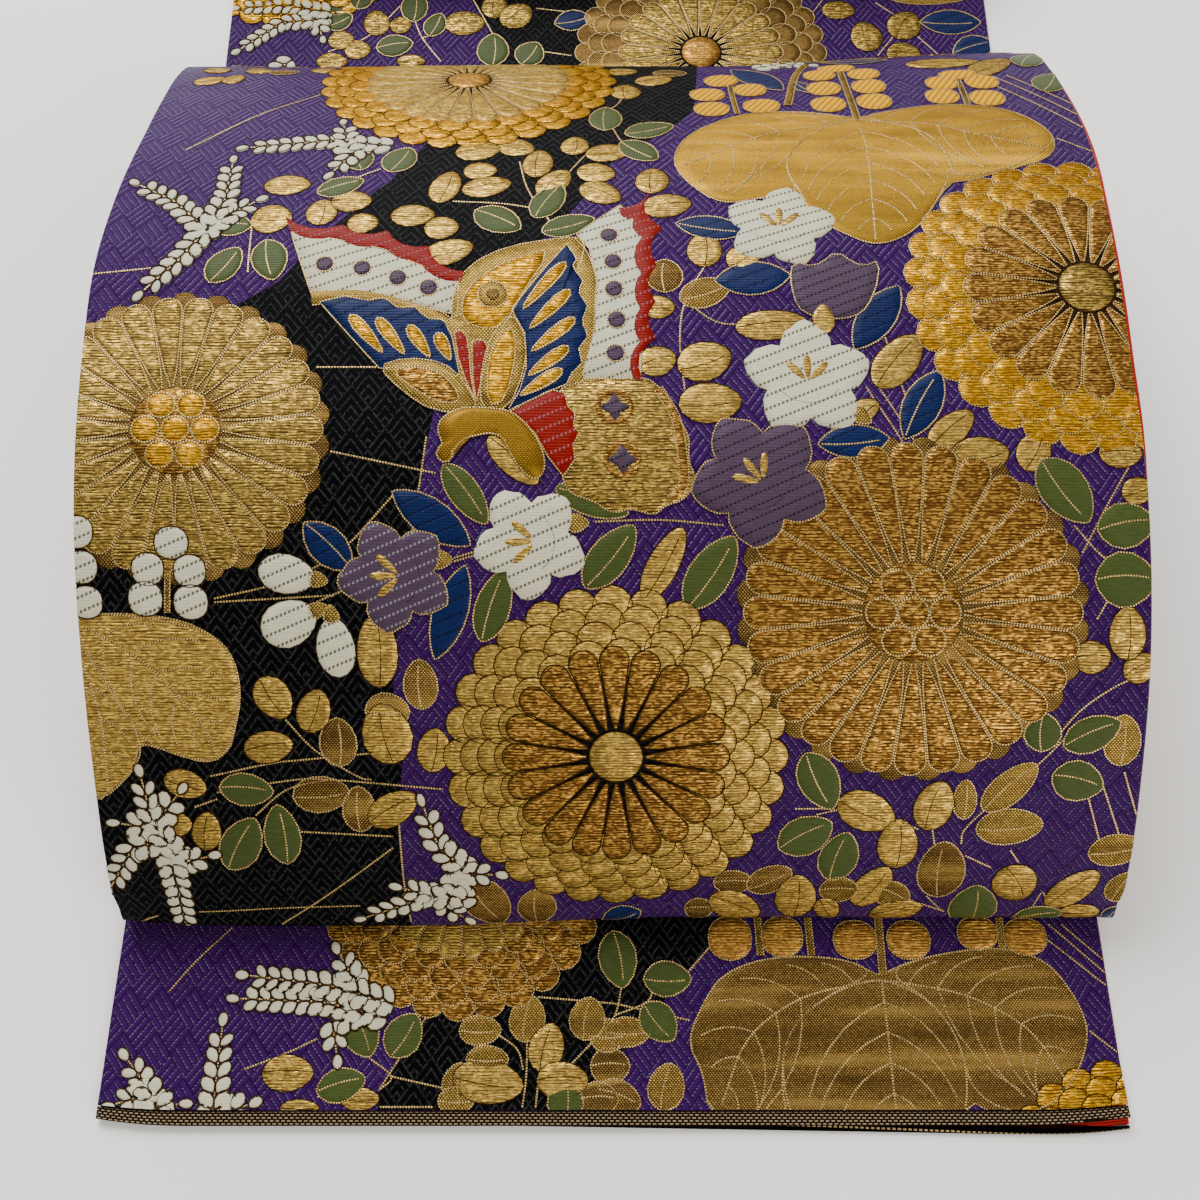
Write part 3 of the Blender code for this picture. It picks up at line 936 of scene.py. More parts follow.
def disc_pattern(corners, rings):
    """How a figure's mesh is knit: a filled circle, inset ring by ring and poked in the middle.

    Gives, for each of its points, the ring it is in from the rim and its place round it, and the faces.
    """
    if (corners, rings) in DISCS:
        return DISCS[corners, rings]
    bpy.ops.object.select_all(action="DESELECT")
    bpy.ops.mesh.primitive_circle_add(vertices=corners, radius=1.0, fill_type="NGON")
    bpy.ops.object.mode_set(mode="EDIT")
    bpy.ops.mesh.select_all(action="SELECT")
    for _ in range(rings):
        bpy.ops.mesh.inset(thickness=0.9 / rings)
    bpy.ops.mesh.poke()
    bpy.ops.object.mode_set(mode="OBJECT")
    pattern = bpy.context.active_object
    spots = np.array([v.co[:2] for v in pattern.data.vertices])
    faces = [tuple(f.vertices) for f in pattern.data.polygons]
    mesh = pattern.data
    bpy.data.objects.remove(pattern)
    bpy.data.meshes.remove(mesh)
    reach = np.hypot(*spots.T)
    levels = sorted({round(float(r), 4) for r in reach}, reverse=True)
    ring = np.array([min(range(len(levels)), key=lambda i, r=r: abs(levels[i] - r)) for r in reach])
    turn = np.degrees(np.arctan2(spots[:, 1], spots[:, 0]))
    turn -= turn[int(np.argmax(ring == 0))]
    place = np.round(turn / (360 / corners)).astype(int) % corners
    DISCS[corners, rings] = ring, place, faces, len(levels) - 1
    return DISCS[corners, rings]


class Figures:
    """The woven figures of one piece, gathered flat and then bent onto their stretch of cloth."""

    def __init__(self, stretch):
        self.stretch = stretch
        self.weave = bpy.context.scene.obi_weave
        self.points, self.threads, self.faces, self.kinds = [], [], [], []
        self.count = 0
        self.chance = random.Random(stretch + "figures")

    def add(self, points, threads, faces, kind):
        self.points.append(points)
        self.threads.append(threads)
        self.faces += [tuple(i + self.count for i in f) for f in faces]
        self.kinds += [kind] * len(faces)
        self.count += len(points)

    def dome(self, outline, kind, level=0.15, crown=1.0, middle=None, rings=3, tone=None, bevel=None):
        """A low dome over an outline wound anticlockwise, in centimetres, at a level in millimetres."""
        outline = np.asarray(outline, float) * CM
        middle = outline.mean(0) if middle is None else np.array(middle) * CM
        ring, place, faces, last = disc_pattern(len(outline), rings)
        arms = outline[place] - middle
        reach = np.maximum(np.hypot(*arms.T), 1e-6)
        bevel = self.weave.bevel if bevel is None else bevel
        rim = 1 - np.minimum(bevel / reach, 0.45)
        share = np.where(ring == 0, 1.0, rim * (1 - (ring - 1) / max(last - 1, 1)))
        height = level * MM + self.weave.relief * crown * (1 - 0.5 * share**2)
        height = np.where(ring == 0, 0.0, height)
        tone = self.chance.random() if tone is None else tone
        points = np.column_stack([middle + arms * share[:, None], height])
        threads = np.column_stack([np.zeros(len(ring)), reach * (1 - share), np.full(len(ring), tone)])
        self.add(points, threads, faces, kind)

    def strip(self, left, right, kind, level=0.3, rises=THREAD_RISES, tone=None):
        """A ribbon between two lines in centimetres; a rise is a share of the way over and its height."""
        left, right = np.asarray(left, float) * CM, np.asarray(right, float) * CM
        middle = (left + right) / 2
        along = runs(middle)
        wide = np.hypot(*(right - left).T)
        tone = self.chance.random() if tone is None else tone
        points, threads = [], []
        for share, rise in rises:
            height = np.full(len(left), max(0.0, level + rise) * MM)
            points.append(np.column_stack([left + (right - left) * share, height]))
            threads.append(np.column_stack([along, wide * min(share, 1 - share), np.full(len(left), tone)]))
        rows = len(left)
        firsts = (k * rows + i for k in range(len(rises) - 1) for i in range(rows - 1))
        faces = [(a, a + rows, a + rows + 1, a + 1) for a in firsts]
        self.add(np.concatenate(points), np.concatenate(threads), faces, kind)

    def band(self, path, width, kind="outline_thread", level=0.3, closed=False, tone=None, flat=False):
        """A ribbon along a path, both in centimetres."""
        path = as_line(path, closed)
        side = sideways(path, closed) * width / 2
        self.strip(path + side, path - side, kind, level, FLAT_RISES if flat else THREAD_RISES, tone)

    def thread(self, path, level=0.16, width=0.05, closed=False, step=0.35, kind="outline_thread"):
        """An outline thread along a path, with points added so that it follows the cloth."""
        path = as_line(path, closed)
        finer = [path[0]]
        for a, b in zip(path, path[1:]):
            parts = max(1, int(math.ceil(math.dist(a, b) / step)))
            finer += [a + (b - a) * i / parts for i in range(1, parts + 1)]
        self.band(finer, width, kind, level)

    def outlined(self, outline, kind, level=0.15, line="outline_thread", width=0.042, crown=1.0, **options):
        """A dome with a thread round it."""
        self.dome(outline, kind, level, crown, **options)
        self.band(outline, width, line, level + 0.09 * crown + 0.05, closed=True)

    def weave_in(self, name, start, end):
        """Cuts the flat figures at the stretch's ends and edges, bends them on, and makes their piece."""
        kinds = sorted(set(self.kinds))
        mesh = bpy.data.meshes.new(name)
        mesh.from_pydata(np.concatenate(self.points).tolist(), [], self.faces)
        mesh.polygons.foreach_set("material_index", [kinds.index(k) for k in self.kinds])
        mark_threads(mesh, np.concatenate(self.threads))
        knit = bmesh.new()
        knit.from_mesh(mesh)
        trim(knit, start, end, FIGURE_INSET)
        if self.stretch == "taiko":
            for row_start, row_end, step in SHARP_TURNS:
                self.cut_rows(knit, row_start, row_end, step)
        bend_on(knit, mesh, STRETCHES[self.stretch], 0.0, kinds)

    def cut_rows(self, knit, start, end, step):
        """Cuts the faces between two places along the cloth into rows, where the cloth turns sharply."""
        faces = [f for f in knit.faces if any(start < v.co.y < end for v in f.verts)]
        near = list({*faces, *(e for f in faces for e in f.edges), *(v for f in faces for v in f.verts)})
        for i in range(int((end - start) / step)):
            near = cut(knit, (0, start + step * (i + 0.5)), (0, 1), near)


ENDS = {
    "tare": (BORDER_WIDTH + SEAM_GAP + 0.0001, 0.100),
    "taiko": (-0.0057, DRUM_FOOT),
    "upper": (0.372, 0.480),
    "te": (0.0005, TE_LENGTH - BORDER_WIDTH - SEAM_GAP),
}
# On the drum's stretch: where the cloth turns sharply along it, and the step of the figures' rows there
SHARP_TURNS = ((ENDS["taiko"][0], 0.008, 0.0008), (0.330, 0.372, 0.0030), (0.372, DRUM_FOOT, 0.0015))
FIGURE_INSET = 0.0002
GROUND_INSET = 0.0003
GROUND_LIFT = 0.00005


def turned(points, x, s, turn=0.0):
    """Points in centimetres, turned by degrees and moved."""
    c, d = math.cos(math.radians(turn)), math.sin(math.radians(turn))
    points = np.asarray(points, float)
    return np.column_stack([x + points[:, 0] * c - points[:, 1] * d, s + points[:, 0] * d + points[:, 1] * c])


def around(corners):
    """Even angles round a full turn."""
    return np.arange(corners) * 2 * math.pi / corners


def leaf_outline(length, width, corners=16, point=0.16, lens=0.5):
    """An oval, a little drawn out at its tip; a higher lens makes both ends pointed."""
    a = around(corners)
    u, v = np.cos(a), np.sin(a)
    v = np.sign(v) * np.abs(v) ** (2 * lens) * (1 - point * u) * (1 - 0.10 * u**4)
    return np.column_stack([u * length / 2, v * width / 2])


def petal_outline(inner, outer, count, corners=16):
    """One of count petals, lying along +x: a pointed root, straight sides and a round end."""

    def half(reach):
        return 0.945 * math.pi * reach / count

    cap = half(outer) / (1 + 0.955 * math.pi / count)
    a = np.linspace(-math.pi / 2, math.pi / 2, corners - 6)
    end = np.column_stack([outer - cap + np.cos(a) * cap, np.sin(a) * cap])
    run = outer - cap - inner
    rows = ((0.6, 1.0), (0.25, 0.85), (0.0, 0.3))
    sides = [(inner + run * t, half(inner + run * t) * share) for t, share in rows]
    return np.concatenate([[(u, -v) for u, v in reversed(sides)], end, sides])


def teardrop_outline(length, width, corners=12):
    """Round at one end and narrow at the other, along +x."""
    a = around(corners)
    u, v = np.cos(a), np.sin(a)
    return np.column_stack([u * length / 2, v * width / 2 * (1 + 0.45 * u)])


def scallops(cusps, sag, parts=4):
    """A line through the cusps that sags to its right between them."""
    cusps = np.array(cusps, float)
    out = []
    for a, b in zip(cusps, cusps[1:]):
        side = np.array([(b - a)[1], -(b - a)[0]])
        for i in range(parts):
            t = i / parts
            out.append(a + (b - a) * t + side * sag * math.sin(math.pi * t) ** 0.8)
    return np.array([*out, cusps[-1]])


def ring_outline(radius, corners, x, s):
    """A ring of one radius, or of a radius for each corner."""
    a = around(corners)
    return np.column_stack([x + np.cos(a) * radius, s + np.sin(a) * radius])


def point_at(place, along, line):
    """The point at a place along a line, or a row for each of many places."""
    return np.stack([np.interp(place, along, line[:, i]) for i in range(2)], -1)


def resampled(polygon, corners):
    """A closed polygon with its corners kept as near as may be, at even steps."""
    closed = as_line(polygon, True)
    along = runs(closed)
    return point_at(np.linspace(0, along[-1], corners, endpoint=False), along, closed)


def rounded(polygon, times=2):
    """A closed polygon with its corners cut off, again and again."""
    polygon = np.asarray(polygon, float)
    for _ in range(times):
        after = np.roll(polygon, -1, 0)
        polygon = np.stack([polygon * 0.75 + after * 0.25, polygon * 0.25 + after * 0.75], 1).reshape(-1, 2)
    return polygon


# ---------------------------------------------------------------- the design, in centimetres across and along

# The black ground's bounds on each stretch
BLACK = {
    "taiko": (
        (-15.9, -1.5), (-6.4, -1.5), (-6.4, 0), (-6.5, 1.6), (-6.55, 4), (-6.3, 6), (-6.5, 7.9), (-6.4, 9),
        (-5.5, 13.9), (-5.05, 16.2), (-3.2, 20), (-1, 23.4), (0, 25.6), (0.9, 26.6), (2, 27.9), (2.6, 29),
        (2.9, 33), (3.6, 42), (-3.2, 42), (-4.5, 34), (-5, 30), (-6, 27), (-7, 24.5), (-7.3, 24.2),
        (-9.8, 20.3), (-11, 19.5), (-12.5, 15.5), (-15.9, 11.5),
    ),
    "tare": (
        (-7.05, 0.3), (-0.9, 0.3), (-0.7, 0.6), (-0.4, 1.2), (0.2, 1.9), (0.8, 2.6), (1.6, 3.6),
        (2.2, 4.45), (3.1, 5.2), (3.5, 5.9), (6.5, 11), (-4, 11), (-5.5, 6.5), (-5.7, 3.2), (-7.05, 1),
    ),
    "upper": (
        (-5.6, 36), (6, 36), (8, 41), (7.4, 44), (6.4, 49), (-6.9, 49), (-5.8, 44.2), (-5.3, 43.2),
        (-4.9, 42.5), (-5, 41),
    ),
}

# Leaves by finish: x, s, length, width, turn in degrees
LEAVES = {
    "taiko": {
        "green_silk": (
            (-8.2, 25.8, 1.4, 0.95, 110), (-6.85, 25.7, 1.4, 1.1, 70), (-8.5, 24.3, 1.5, 0.9, 25),
            (-0.36, 28.3, 1.7, 1.1, 90), (1.1, 27.5, 1.7, 1, 20), (0.8, 26.2, 1.6, 1, -40),
            (-1.9, 23.6, 1.7, 1, 65), (-3.4, 22.75, 1.7, 1.1, -30), (-1.2, 22.5, 1.7, 0.9, 20),
            (-11.55, 22.5, 1.2, 0.9, 0), (-11.55, 20.9, 1.5, 1, 60), (-10.2, 21.1, 1.6, 1.1, -75),
            (15.1, 30.4, 1.5, 1.1, 60), (14.9, 32.4, 1.5, 1.1, 60), (-4.2, 13.5, 2.1, 0.9, -55),
            (-0.55, 13.3, 2.2, 0.9, -20), (-3.5, 10.3, 2.2, 1, 70), (-0.1, 11.7, 2.3, 1.1, 50),
            (2.8, 11.25, 2.5, 1.2, 55), (13.1, 13.6, 2.2, 1.4, -55), (14.8, 12.6, 1.7, 1.3, 10),
            (14.75, 11.05, 1.8, 1.6, 0), (12.45, 6.55, 1.2, 1.1, 90), (13.9, 6.5, 1.8, 1.1, 25),
            (13.6, 5, 1.6, 1.3, -15), (5.95, 5, 2, 1.2, -65), (5.6, 3.2, 1.8, 1.3, 30),
            (6.65, 2.45, 1.8, 1.2, 75), (10.95, 0.5, 1.8, 1.5, 90), (13, 0.1, 1.5, 0.8, 10),
            (-11, 4.8, 1.6, 1, -5), (-11.3, 3.1, 1.9, 1.2, 60), (-10.05, 3.4, 1.9, 1.1, 95),
            (-9, 36.6, 1.8, 1.2, 40), (-7.6, 37.6, 1.8, 1.1, 100), (2.6, 35.6, 1.8, 1.1, 60),
            (4.2, 36.6, 1.8, 1.1, 10), (13.6, 36.2, 1.9, 1.2, 70),
        ),
        "blue_silk": (
            (4.95, 31.65, 2.8, 1.2, -54), (6.5, 30.7, 1.2, 0.6, -60), (8.7, 33.2, 2.5, 0.9, -5),
            (3.2, 22.4, 2.2, 1, -10), (4.45, 20.4, 2.3, 1.2, 5), (8.1, 19.05, 2.6, 1.1, 55),
            (9.2, 16.2, 2.5, 1.1, 60), (7.1, 15.05, 2.1, 1, 5), (-8.2, 12, 1.9, 1.1, -45),
            (-5.2, 12.8, 2.7, 1.1, -35), (-4.75, 10.1, 2.9, 1, 70), (0.1, 0.1, 1.3, 1, 20),
            (15.4, 0.1, 0.9, 0.8, 60), (-12.4, 37.4, 2.4, 1.1, 30), (14.2, 38.6, 2.4, 1.1, -20),
        ),
        "bright_gold": (
            (-14.2, 31.5, 1.2, 0.8, 30), (-13.4, 31.7, 1, 0.7, 60), (-14.2, 32.8, 1, 0.8, 0),
            (-10.4, 32.9, 1, 0.8, 0), (-12.7, 32.8, 1, 0.8, 0), (-4.4, 26.2, 1.5, 1.1, 10),
            (-3.2, 26.4, 1.3, 1, -20), (-2.4, 25.5, 1.5, 1, 90), (-4.2, 25.1, 1.1, 0.9, 0),
            (-5.2, 24.3, 1.6, 1, 80), (-3.9, 24.3, 1.6, 1, 15), (-1.3, 26.5, 1.1, 0.95, 90),
            (-0.2, 26.1, 1.5, 1, 10), (-0.5, 25, 1.3, 1, -15), (-0.3, 24, 1.5, 1, -30),
            (-1.8, 24.5, 1.5, 1, 60), (-10.2, 24.4, 1.5, 1, 0), (-8.05, 23.6, 1.3, 1, 0),
            (-8.9, 23.1, 1.2, 1, 90), (-10.4, 22.8, 1.3, 1.3, 0), (-7.55, 22.6, 1, 0.9, 0),
            (-6.05, 22.95, 1.4, 1, 0), (-5.1, 22.4, 1.1, 1, 0), (-4.8, 21.4, 1.6, 1, 20),
            (1.3, 31.6, 1.4, 1, 20), (0.3, 30.5, 1.3, 1.1, 90), (0.2, 32.6, 1.2, 0.9, 0),
            (11.8, 32.3, 2.7, 1, 0), (13.4, 31.8, 2.2, 1.1, 40), (1.3, 24.6, 1.3, 1.1, 90),
            (1.8, 23.4, 1.6, 1.1, 10), (3, 21.5, 1.4, 1.1, 90), (4.2, 21.2, 1.2, 1, 40),
            (1.6, 19.4, 1, 0.8, 0), (4.95, 18.8, 2.2, 1, 5), (2.9, 17.6, 1.7, 1.3, 20),
            (1.5, 17.6, 1.2, 1, 20), (3, 16.25, 1.9, 1.3, 5), (8.6, 17.6, 2.2, 1.2, 50),
            (9.95, 15.4, 1.8, 0.9, 40), (7.45, 16, 1.1, 0.7, 30), (10.7, 14.6, 1.8, 1.2, 10),
            (12.3, 14.75, 1.3, 1, 60), (14.8, 14.7, 1.3, 0.9, 0), (15.2, 13.6, 1, 0.8, 20),
            (-6.9, 9, 2.2, 1.2, 90), (-2.8, 14.5, 2, 0.9, -45), (-10, 7.6, 1.4, 1.1, -60),
            (-8.85, 7.2, 1.4, 1, 70), (-10.25, 6.1, 1.5, 1, 10), (-6.75, 6.5, 1.9, 1.5, 100),
            (-5.4, 6, 1.4, 1, 80), (1.45, 11.5, 2.4, 0.9, 60), (14.8, 9.5, 1.6, 1.1, 90),
            (13.8, 8.8, 1.1, 1, 0), (15.2, 8.5, 1.1, 0.9, 30), (-12.8, 4.96, 1.3, 0.9, -15),
            (-13.3, 3.7, 1.2, 0.9, 5), (-12.3, 3.5, 1.25, 0.9, 80), (-6.7, 4.2, 1.7, 1, 30),
            (7.4, 4, 1.9, 1.3, -25), (8.4, 2.9, 1.75, 1.25, 90), (9.4, 4.2, 1.7, 1.2, 75),
            (7.75, 1.3, 1.8, 1.1, 60), (5.45, 0.9, 1.8, 1.3, 90), (6.45, 0.4, 1, 0.8, -60),
            (3.6, 0.5, 1.8, 1.2, -30), (8.6, 0.3, 1.7, 0.9, 15), (12.1, 1.45, 1.5, 1.4, -60),
            (13.9, 1.2, 2, 1.1, 45), (14.3, 0.25, 1.3, 0.7, 0), (-8.4, 35.4, 1.6, 1.1, 20),
            (-10.6, 36.2, 1.6, 1.1, 70), (-11.6, 35, 1.6, 1.1, 10), (1.2, 36.4, 1.6, 1.1, 110),
            (3.2, 37.8, 1.6, 1.1, 30), (12.2, 34.6, 1.7, 1.2, 30), (14.4, 34.8, 1.7, 1.2, 80),
        ),
        "mesh_gold": (
            (11.6, 4.8, 2.1, 1, 45), (11.7, 3.5, 2, 1.2, 5), (10.3, 4.4, 1.3, 0.7, 90),
            (15, 2.7, 1.7, 1.1, 10), (15.4, 1.3, 1.2, 1, 70), (6.75, 1.2, 1.2, 1, 0), (3, 19.9, 1.6, 1, 20),
            (8.4, 1, 1.2, 1, -30), (14.8, 6.3, 1.6, 1.1, 90),
        ),
        "brown_mesh": (
            (-5.7, 8, 1.5, 1, 90), (-8.2, 6.25, 1.5, 1.1, 90), (-6.7, 7.2, 1.3, 1.1, 0),
            (-8.8, 4.65, 1.7, 1.1, 5), (-7.7, 4.2, 1.4, 1, 90), (-4.05, 0.95, 2, 1.4, -60),
            (-2.5, 0.7, 1.4, 1.2, 90), (9.8, 1.95, 2.1, 1.45, 90), (4.6, 1.6, 1.5, 1, 30),
            (3.5, 1.5, 1.2, 0.9, 0), (2.5, 0.4, 0.9, 0.9, 0), (-11.8, 32.6, 1.1, 0.7, 0),
            (1.9, 32.4, 1.2, 0.8, 0), (1.8, 20.5, 1.2, 1.1, 90), (-13.4, 34.6, 1.6, 1.1, 40),
        ),
    },
    "tare": {
        "green_silk": (
            (-7.7, 2.65, 1.5, 1.1, -65), (-6.4, 2.6, 1.45, 1.15, 60), (-8.2, 1.15, 1.5, 1, 15),
            (-1.4, 0.7, 1.2, 1.1, 90), (0.2, 4.9, 1.8, 1.2, -80), (1.75, 4.3, 1.5, 1.1, 0),
            (1.45, 3, 1.4, 1.1, -50),
        ),
        "bright_gold": (
            (-9.85, 1.5, 1.6, 1.1, 0), (-7.6, 0.75, 1.2, 0.7, 0), (-9.4, 0.5, 1.2, 0.5, 0),
            (-2, 2.25, 1.5, 1.1, 75), (-3.75, 1.25, 2.2, 1.3, -8), (-1.5, 1.3, 1.6, 1.1, 0),
        ),
        "mesh_gold": (
            (-4.05, 2.75, 1.3, 0.9, 0), (-2.6, 3.1, 1.4, 1.1, 80), (-3.8, 1.9, 1.3, 0.8, 0),
            (-4.6, 1.2, 1.2, 1.1, 90), (-4.7, 0.7, 1.1, 0.8, 0), (-0.75, 3.1, 1.3, 1.1, 80),
            (-0.1, 2.6, 1.2, 1, 0), (0.5, 2.7, 1.4, 0.9, 0), (1.65, 1.1, 1.4, 1.1, 75),
        ),
        "brown_mesh": ((-0.05, 1.7, 1.2, 1.1, 0), (0.2, 0.8, 1.4, 1, -20), (-0.4, 0.75, 1.2, 1, 0)),
    },
    "upper": {
        "green_silk": (
            (-11.2, 43.6, 1.2, 1, 0), (-11.05, 42.8, 1.2, 1, 30), (-10.2, 43.95, 1.1, 0.9, 70),
            (-8, 43.6, 1.7, 1.1, 90), (-7.1, 42.6, 1.3, 0.9, 70), (-8.7, 41.5, 1.5, 1.1, 10),
            (-4.7, 41.3, 1.7, 1.3, 90), (-3.2, 41.1, 1.3, 1.2, 60), (-9.2, 45.6, 1.6, 1.1, 70),
            (-10.8, 39.2, 1.6, 1.1, 40),
        ),
        "blue_silk": (
            (-1.5, 42.85, 1.5, 1.1, 15), (14, 42.75, 2.5, 1.3, 0), (14.8, 41.4, 1.8, 1.3, 20),
            (12.4, 39.4, 2.4, 1.1, 50),
        ),
        "pale_gold": (
            (-9.5, 42.7, 1.4, 1.1, 100), (-8.5, 42.6, 1, 0.9, 60), (-5.9, 42.7, 1.7, 1.3, 0),
            (-4.7, 43.6, 1.3, 1.1, 90), (-3.8, 43.1, 1.5, 1.3, 45), (-10.9, 41.8, 1.1, 1, 0),
            (-10.2, 41.3, 1.1, 1, 0), (-11.2, 40.7, 1.3, 0.9, 0), (-8, 40.7, 1.2, 0.7, 0),
            (9.45, 43.4, 1.4, 1, 0), (10.5, 42, 1.6, 1.3, 100), (12.1, 42.6, 1.6, 1.4, 60),
            (11.95, 41.1, 1.4, 1.2, 0), (-7.4, 45.2, 1.5, 1.1, 10), (-5.2, 45.4, 1.5, 1.1, 60),
            (-9.2, 39.6, 1.5, 1.1, 0), (-6.8, 39.4, 1.5, 1.1, 50), (10.6, 45.4, 1.5, 1.1, 20),
            (12.4, 45.8, 1.5, 1.1, 80), (10.2, 39.2, 1.5, 1.1, 60),
        ),
        "mesh_gold": ((13.2, 44.2, 3.6, 1, 0), (-12.6, 39.8, 1.6, 1.1, 20)),
    },
}

LEAF_LEVELS = {  # in millimetres
    "brown_mesh": 0.08, "mesh_gold": 0.11, "pale_gold": 0.14, "bright_gold": 0.14, "green_silk": 0.18,
    "blue_silk": 0.18,
}

# Chrysanthemums: x, s, and how each is made up
FLOWERS = {
    "taiko": (
        (-12.6, 15.4, "sunburst_pale"), (8.6, 10.1, "sunburst_orange"), (-0.05, 5.8, "scaled_orange"),
        (-5.14, 31.5, "scaled_yellow"), (14.45, 20.05, "scaled_long"), (9.4, 38.6, "scaled_orange"),
    ),
    "tare": ((-4.75, 7.7, "scaled_tare"), (15.5, -2.5, "scaled_corner")),
    "upper": ((3.73, 41.15, "scaled_brown"), (-13.2, 47.6, "scaled_yellow")),
}

# For each kind: the disc's radius and finish (or None for a cluster); how many petals, how far they reach,
# their finish and their outline; the rings of scales from the rim inward, the size, finish and outline of the
# scales (or of the cluster's grains); and the ground between
BLOOMS = {
    "scaled_yellow": (
        0.75, "amber_gold", 24, 3.55, "bright_gold", "outline_thread", (4.6, 4.1, 3.6), 1.05, "yellow_gold",
        "dark_weft", "dark_weft",
    ),
    "scaled_orange": (
        0.8, "bright_gold", 20, 3.35, "orange_gold", "dark_weft", (4.5, 4, 3.5, 3), 1.1, "bright_gold",
        "dark_weft", "black_weft",
    ),
    "scaled_long": (
        0.85, "pale_gold", 20, 3.7, "orange_gold", "outline_thread", (4.85, 4.3, 3.75), 1.15, "yellow_gold",
        "outline_thread", "dark_weft",
    ),
    "scaled_brown": (
        0.8, "amber_gold", 22, 3.35, "pale_gold", "outline_thread", (4.55, 4.05, 3.5), 1.05, "brown_mesh",
        "outline_thread", "black_weft",
    ),
    "scaled_tare": (
        0.75, "yellow_gold", 22, 2.8, "bright_gold", "outline_thread", (4.15, 3.7, 3.2, 2.7), 1,
        "orange_gold", "outline_thread", "dark_weft",
    ),
    "scaled_corner": (
        0.75, "yellow_gold", 22, 2.6, "yellow_gold", "dark_weft", (3.85, 3.4, 2.95), 1, "yellow_gold",
        "dark_weft", "dark_weft",
    ),
    "sunburst_pale": (
        1.3, None, 26, 4.3, "pale_gold", "outline_thread", (), 0.85, "yellow_gold", "outline_thread",
        "brown_mesh",
    ),
    "sunburst_orange": (
        1.4, None, 28, 4.9, "orange_gold", "outline_thread", (), 0.95, "orange_gold", "outline_thread",
        "brown_mesh",
    ),
}

# Paulownias: the leaf's outline; each lobe's own bounds and midrib; its middle and its finish
PAULOWNIAS = {
    "taiko": (
        (((14.4, 26.5), (14.2, 27.5), (13.2, 28.6), (11.2, 29), (9.2, 28.6), (8.05, 28.1), (7.05, 28.55),
          (5.6, 28.8), (4.1, 28.6), (2.4, 27.3), (1.85, 25.8), (2.3, 24.6), (3.5, 23.4), (4.8, 23.8),
          (6.1, 23.7), (6.3, 22.9), (7.2, 22.2), (8.25, 21.6), (9.3, 22.1), (9.9, 22.9), (10.7, 24.5),
          (11.2, 24.5), (12.6, 25.1), (14, 25.7)),
         ((((8, 28.2), (6.8, 27.6), (5.75, 26.3), (5.5, 25.2), (6.1, 23.8), (6.3, 22.9), (7.2, 22.2),
           (8.25, 21.6), (9.3, 22.1), (9.9, 22.9), (10.7, 24.6), (10.85, 25.8), (10.2, 27.4)),
           ((8.05, 27.9), (8.2, 25.8), (8.25, 21.9))),
          (((7.9, 28.2), (5.6, 28.8), (4.1, 28.6), (2.4, 27.3), (1.85, 25.8), (2.3, 24.6), (3.5, 23.4),
           (4.8, 23.8), (6, 23.9), (5.5, 25.2), (5.75, 26.3), (6.8, 27.6)),
           ((7.7, 27.9), (5.2, 27.3), (3.6, 26.3), (2.3, 25.4))),
          (((8.1, 28.2), (9.2, 28.6), (11.2, 29), (13.2, 28.6), (14.2, 27.5), (14.4, 26.5), (12.6, 25.1),
           (10.8, 24.7), (10.85, 25.8), (10.2, 27.4)),
           ((8.3, 27.9), (10.4, 27.7), (12, 27), (13.9, 26.3)))),
         (8.1, 26), "warm_mesh"),
        (((-17.5, 7.2), (-15.6, 4.2), (-14.9, 4.9), (-14.3, 5.3), (-14.05, 6.2), (-13.9, 6.2), (-13, 5.9),
          (-12.05, 5.56), (-11.4, 6), (-11.2, 6.6), (-10.9, 7.75), (-11.1, 9), (-12, 9.7), (-13, 10),
          (-14.5, 10.1), (-15.8, 10)),
         ((((-15.8, 10), (-14.5, 10.1), (-12, 9.7), (-11.1, 9), (-10.9, 7.75), (-11.4, 6), (-12.05, 5.56),
           (-13.9, 6.2), (-14.6, 7.6)),
           ((-15.3, 9.7), (-13.6, 8.6), (-12.2, 6.9), (-11.8, 5.9))),
          (((-15.8, 9.8), (-14.6, 7.6), (-13.9, 6.2), (-14.3, 5.3), (-15.6, 4.2), (-16.4, 6)),
           ((-15.6, 9.3), (-15.1, 7), (-15.1, 4.8)))),
         (-14.2, 7.9), "bright_gold"),
    ),
    "tare": (
        (((14.7, 2.6), (14.5, 3.6), (13.8, 4.8), (12.5, 5.25), (11.3, 5.2), (9.8, 4.95), (8.9, 4.65),
          (8.45, 4.35), (8, 4.6), (7.2, 4.95), (5.1, 5), (3.5, 4.5), (2.8, 3.5), (2.3, 2.4), (2.8, 1.5),
          (2.9, 0.2), (6, -0.6), (10.3, 0.1), (10.95, 0.8), (11.6, 0.1), (12.8, 0.3), (14, 1.2)),
         ((((8.45, 4.4), (6.9, 3.9), (5.5, 2.9), (5.1, 1.4), (5.6, -0.4), (10.3, -0.4), (10.8, 1),
           (10.7, 2.4), (10, 3.6)),
           ((8.45, 4.2), (8.5, 2.4), (8.55, -0.4))),
          (((8.3, 4.5), (7.2, 4.95), (5.1, 5), (3.5, 4.5), (2.8, 3.5), (2.3, 2.4), (2.8, 1.5), (2.9, 0.2),
           (5.3, 0), (5.1, 1.4), (5.5, 2.9), (6.9, 3.9)),
           ((8.2, 4.25), (5.9, 3.7), (4.2, 2.5), (3.3, 0.6))),
          (((8.6, 4.5), (9.8, 4.95), (11.3, 5.2), (12.5, 5.25), (13.8, 4.8), (14.5, 3.6), (14.7, 2.6),
           (14, 1.2), (12.6, 0.2), (10.9, 0.8), (10.7, 2.4), (10, 3.6)),
           ((8.7, 4.25), (11, 3.8), (12.8, 2.8), (13.7, 1.4)))),
         (8.45, 2.5), "brown_mesh"),
    ),
    "upper": (),
}

